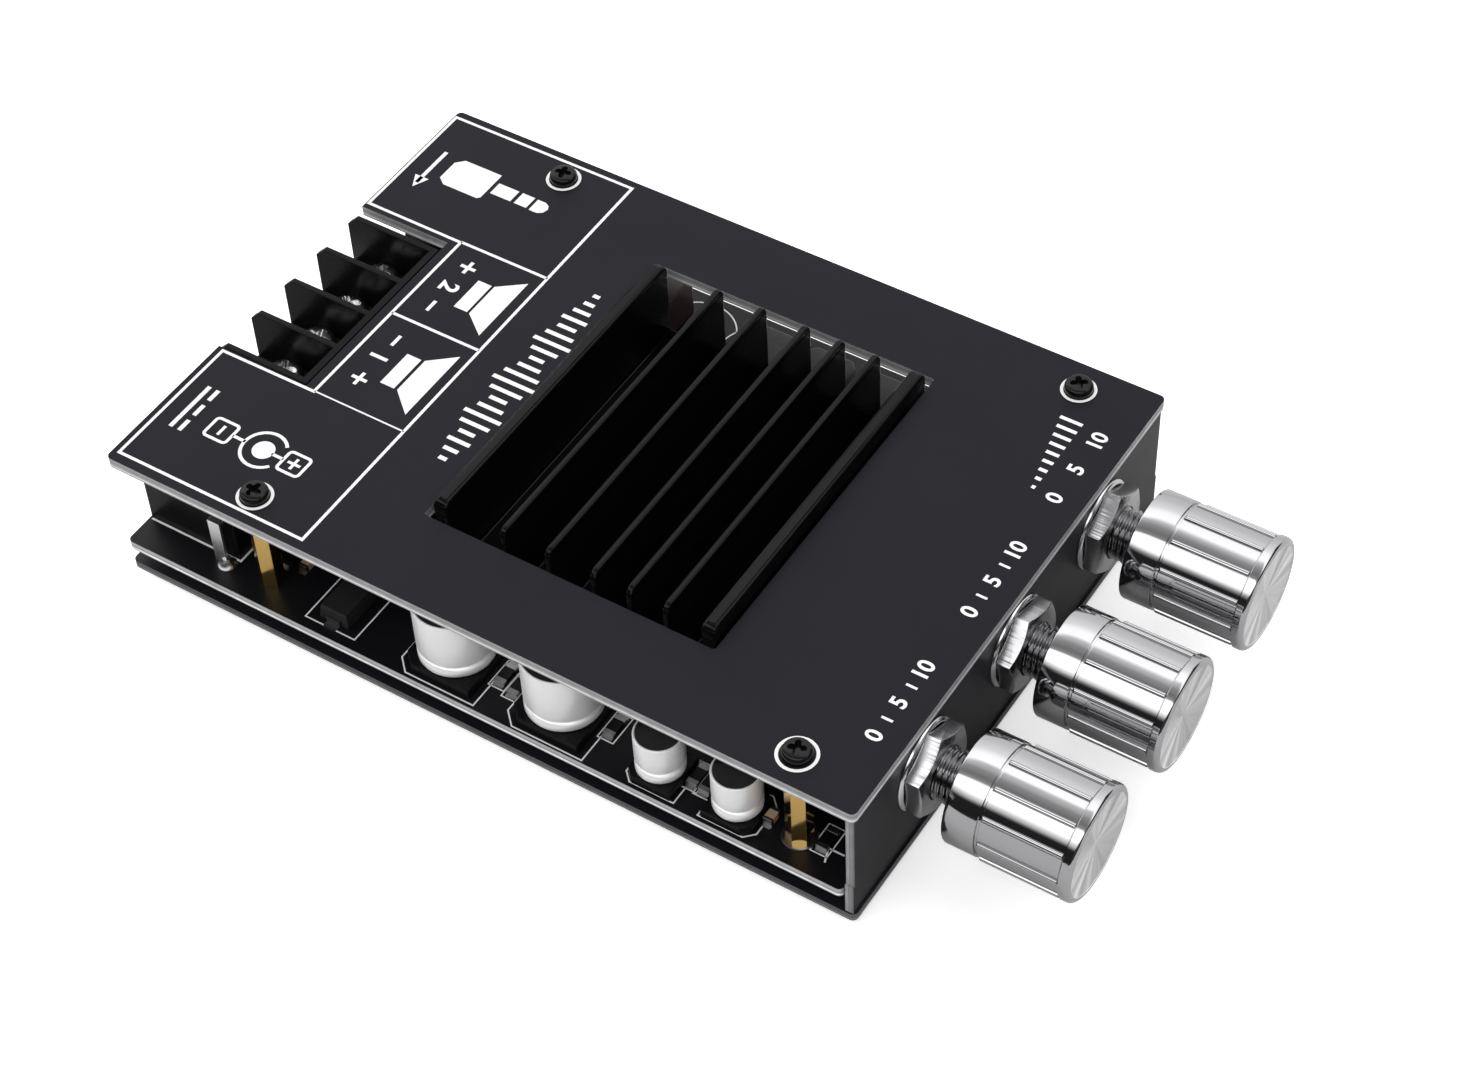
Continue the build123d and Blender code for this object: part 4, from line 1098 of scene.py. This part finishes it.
for x, y in large_cans:
    outline_part(x - 5.75, y - 6.2, x + 5.75, y + 5.9, 1.8, False)
for (x, y), front in zip(small_cans, (False, True)):
    outline_part(x - 3.25, y - 3.8, x + 3.7, y + 3.7, 1.2, front)
diode_low, diode_high = box_mm("diode")
outline_part(-36.5, diode_low.y - 1.6, diode_high.x + 2.2, diode_high.y + 1.6, 0.01, True)
for x, y in resistors[:6]:
    marks.line(rectangle(x - 2.2, y - 1.15, x + 2.2, y + 1.15), 0.16, True)
for points, width in (
    ([(-33.45, 65.0), (-33.45, 50.4), (-24.0, 50.4)], 0.3),
    ([(-30.7, 43.0), (-28.9, 42.9), (-28.9, 46.0)], 0.24),
    ([(-35.5, -38.0), (-33.5, -37.3), (-33.5, -39.5)], 0.24),
    ([(27.6, -17.2), (36.6, -17.2), (36.6, -12.0)], 0.2),
):
    marks.line(points, width)
for y in (23.0, 13.0):
    marks.ring((31.0, y), 5.6, 5.8)
marks.done("board_print", grey_print)


# Solder and plated pads on the main board


def add_fillet_of_solder(bm, x, y, radius, height):
    """A low cone of solder with a hollow flank, round a pin or a standoff."""
    profile = [(-0.01, 0), (-0.01, radius), (0.05 * height, 0.9 * radius), (0.3 * height, 0.68 * radius)]
    profile += [(0.7 * height, 0.5 * radius), (height, 0.4 * radius), (height, 0)]
    add_turned(bm, upright_at(x, y, board_top), profile, 32)


def add_pad(bm, x, y, length, width, height):
    """A tinned pad with rounded ends."""
    corners = rounded_corners((x, y), length / 2, width / 2, 0.3 * min(length, width), 4)
    add_plate(bm, corners, board_top - 0.01, board_top + height)


bm = bmesh.new()
for x, y in corner_screws:
    at_front = y < 0
    inner = 1.2
    outer, height = (2.25, 0.3) if at_front else (1.4, 0.04)
    collar = [(-0.01, inner), (-0.01, outer), (0.6 * height, outer), (height, outer - 0.1)]
    collar += [(height, inner), (-0.01, inner)]
    add_turned(bm, upright_at(x, y, board_top), collar, 48)
finish_piece("standoff_pads", bm, [solder])

bm = bmesh.new()
for side, x in ((-1, diode_low.x), (1, diode_high.x)):
    add_pad(bm, x + side * 0.3, (diode_low.y + diode_high.y) / 2, 1.2, 2.0, 0.08)
for places, reach, width in ((resistors, 1.7, 1.5), (capacitors, 1.05, 1.2)):
    for x, y in places:
        for side in (-1, 1):
            add_pad(bm, x + side * reach, y, 0.7, width, 0.06)
tab_low, tab_high = box_mm("dc_jack_tabs")
add_fillet_of_solder(bm, tab_low.x + 0.2, (tab_low.y + tab_high.y) / 2 - 0.2, 1.3, 1.1)
finish_piece("solder_pads", bm, [solder])


# Floor, light and camera


def make_floor():
    """A plain pale floor that the board stands on."""
    material, shader = make_finish("pale studio floor", (0.90, 0.90, 0.90), 0.7, drift=0.006, cloud=2.0)
    tree = material.node_tree
    path = tree.nodes.new("ShaderNodeLightPath")
    glow = add_math(tree, "MULTIPLY", path.outputs["Is Camera Ray"], 0.5)
    shader.inputs["Emission Color"].default_value = (1, 1, 1, 1)
    tree.links.new(glow, shader.inputs["Emission Strength"])

    # Polished metal mirrors the floor as a light grey card
    tone = shader.inputs["Base Color"].links[0].from_socket
    card = (0.62, 0.62, 0.62, 1)
    mirrored = add_mix(tree, "RGBA", path.outputs["Is Glossy Ray"], tone, card)
    tree.links.new(mirrored, shader.inputs["Base Color"])
    bm = bmesh.new()
    bmesh.ops.create_grid(bm, x_segments=1, y_segments=1, size=3.0)
    floor = new_object("studio_floor", bm, [material])


# Light bands round the object's long axis: degrees from the right over the top, and brightness
brightest_band = 2.6
studio_bands = ((0, 0.35), (20, 0.42), (45, 0.58), (57, 0.80), (73, 0.85), (79, 0.40), (90, 0.20))
studio_bands += ((103, 0.12), (112, 0.20), (115, 1.00), (137, 1.00), (142, 0.55), (148, 0.18))
studio_bands += ((153, 0.01), (181, 0.01), (184, 0.30), (359, 0.30))


def add_bands(tree, ray):
    """How bright the bands are in the direction of a ray."""
    angle = add_math(tree, "ARCTAN2", ray.outputs["Z"], ray.outputs["X"])
    turn = add_math(tree, "FRACT", add_math(tree, "DIVIDE", angle, 2 * math.pi), 0.0)
    bands = tree.nodes.new("ShaderNodeValToRGB")
    tree.links.new(turn, bands.inputs["Fac"])
    stops = bands.color_ramp.elements
    while len(stops) > 1:
        stops.remove(stops[-1])
    for n, (degrees, share) in enumerate(studio_bands):
        stop = stops[0] if n == 0 else stops.new(degrees / 360)
        stop.position = degrees / 360
        stop.color = (share, share, share, 1)
    return add_math(tree, "MULTIPLY", bands.outputs["Color"], brightest_band)


def make_studio_walls():
    """Soft light in long bands that run from front to rear, as flags and strip boxes give it."""
    world = bpy.data.worlds.new("studio walls")
    world.use_nodes = True
    scene.world = world
    tree = world.node_tree
    ray = tree.nodes.new("ShaderNodeSeparateXYZ")
    tree.links.new(tree.nodes.new("ShaderNodeTexCoord").outputs["Generated"], ray.inputs[0])
    level = add_bands(tree, ray)

    # A dark card in front, and an even wall straight ahead, straight behind and behind the object
    in_front = add_share(tree, ray.outputs["Y"], -0.30, -0.42)
    low_down = add_share(tree, ray.outputs["Z"], 0.54, 0.42)
    card = add_math(tree, "MULTIPLY", in_front, low_down)
    even = add_share(tree, add_math(tree, "ABSOLUTE", ray.outputs["Y"], 0.0), 0.975, 0.995)
    backdrop = tree.nodes.new("ShaderNodeLightPath").outputs["Is Camera Ray"]
    for factor, brightness in ((card, 0.06), (even, 1.0), (backdrop, 1.0)):
        level = add_mix(tree, "FLOAT", factor, level, brightness)
    background = tree.nodes["Background"]
    background.inputs["Color"].default_value = (1.0, 1.0, 1.0, 1)
    tree.links.new(level, background.inputs["Strength"])


make_floor()
make_studio_walls()

# Camera at the photo's place: the turn is the one that takes the room into the camera's view
camera_place = Vector((-0.2197, -0.1546, 0.3071))
view_turn = Vector((2.1428925, -1.1966576, 0.4134310))
into_view = Matrix.Rotation(view_turn.length, 3, view_turn)
lens = bpy.data.cameras.new("studio camera")
lens.lens = 77.96
lens.sensor_width = 36.0
lens.clip_start = 0.01
lens.clip_end = 20.0
camera = bpy.data.objects.new("studio camera", lens)
axes = Matrix((into_view[0], -into_view[1], -into_view[2])).transposed()
camera.matrix_world = Matrix.Translation(camera_place) @ axes.to_4x4()
scene.collection.objects.link(camera)
scene.camera = camera
scene.view_settings.view_transform = "Standard"
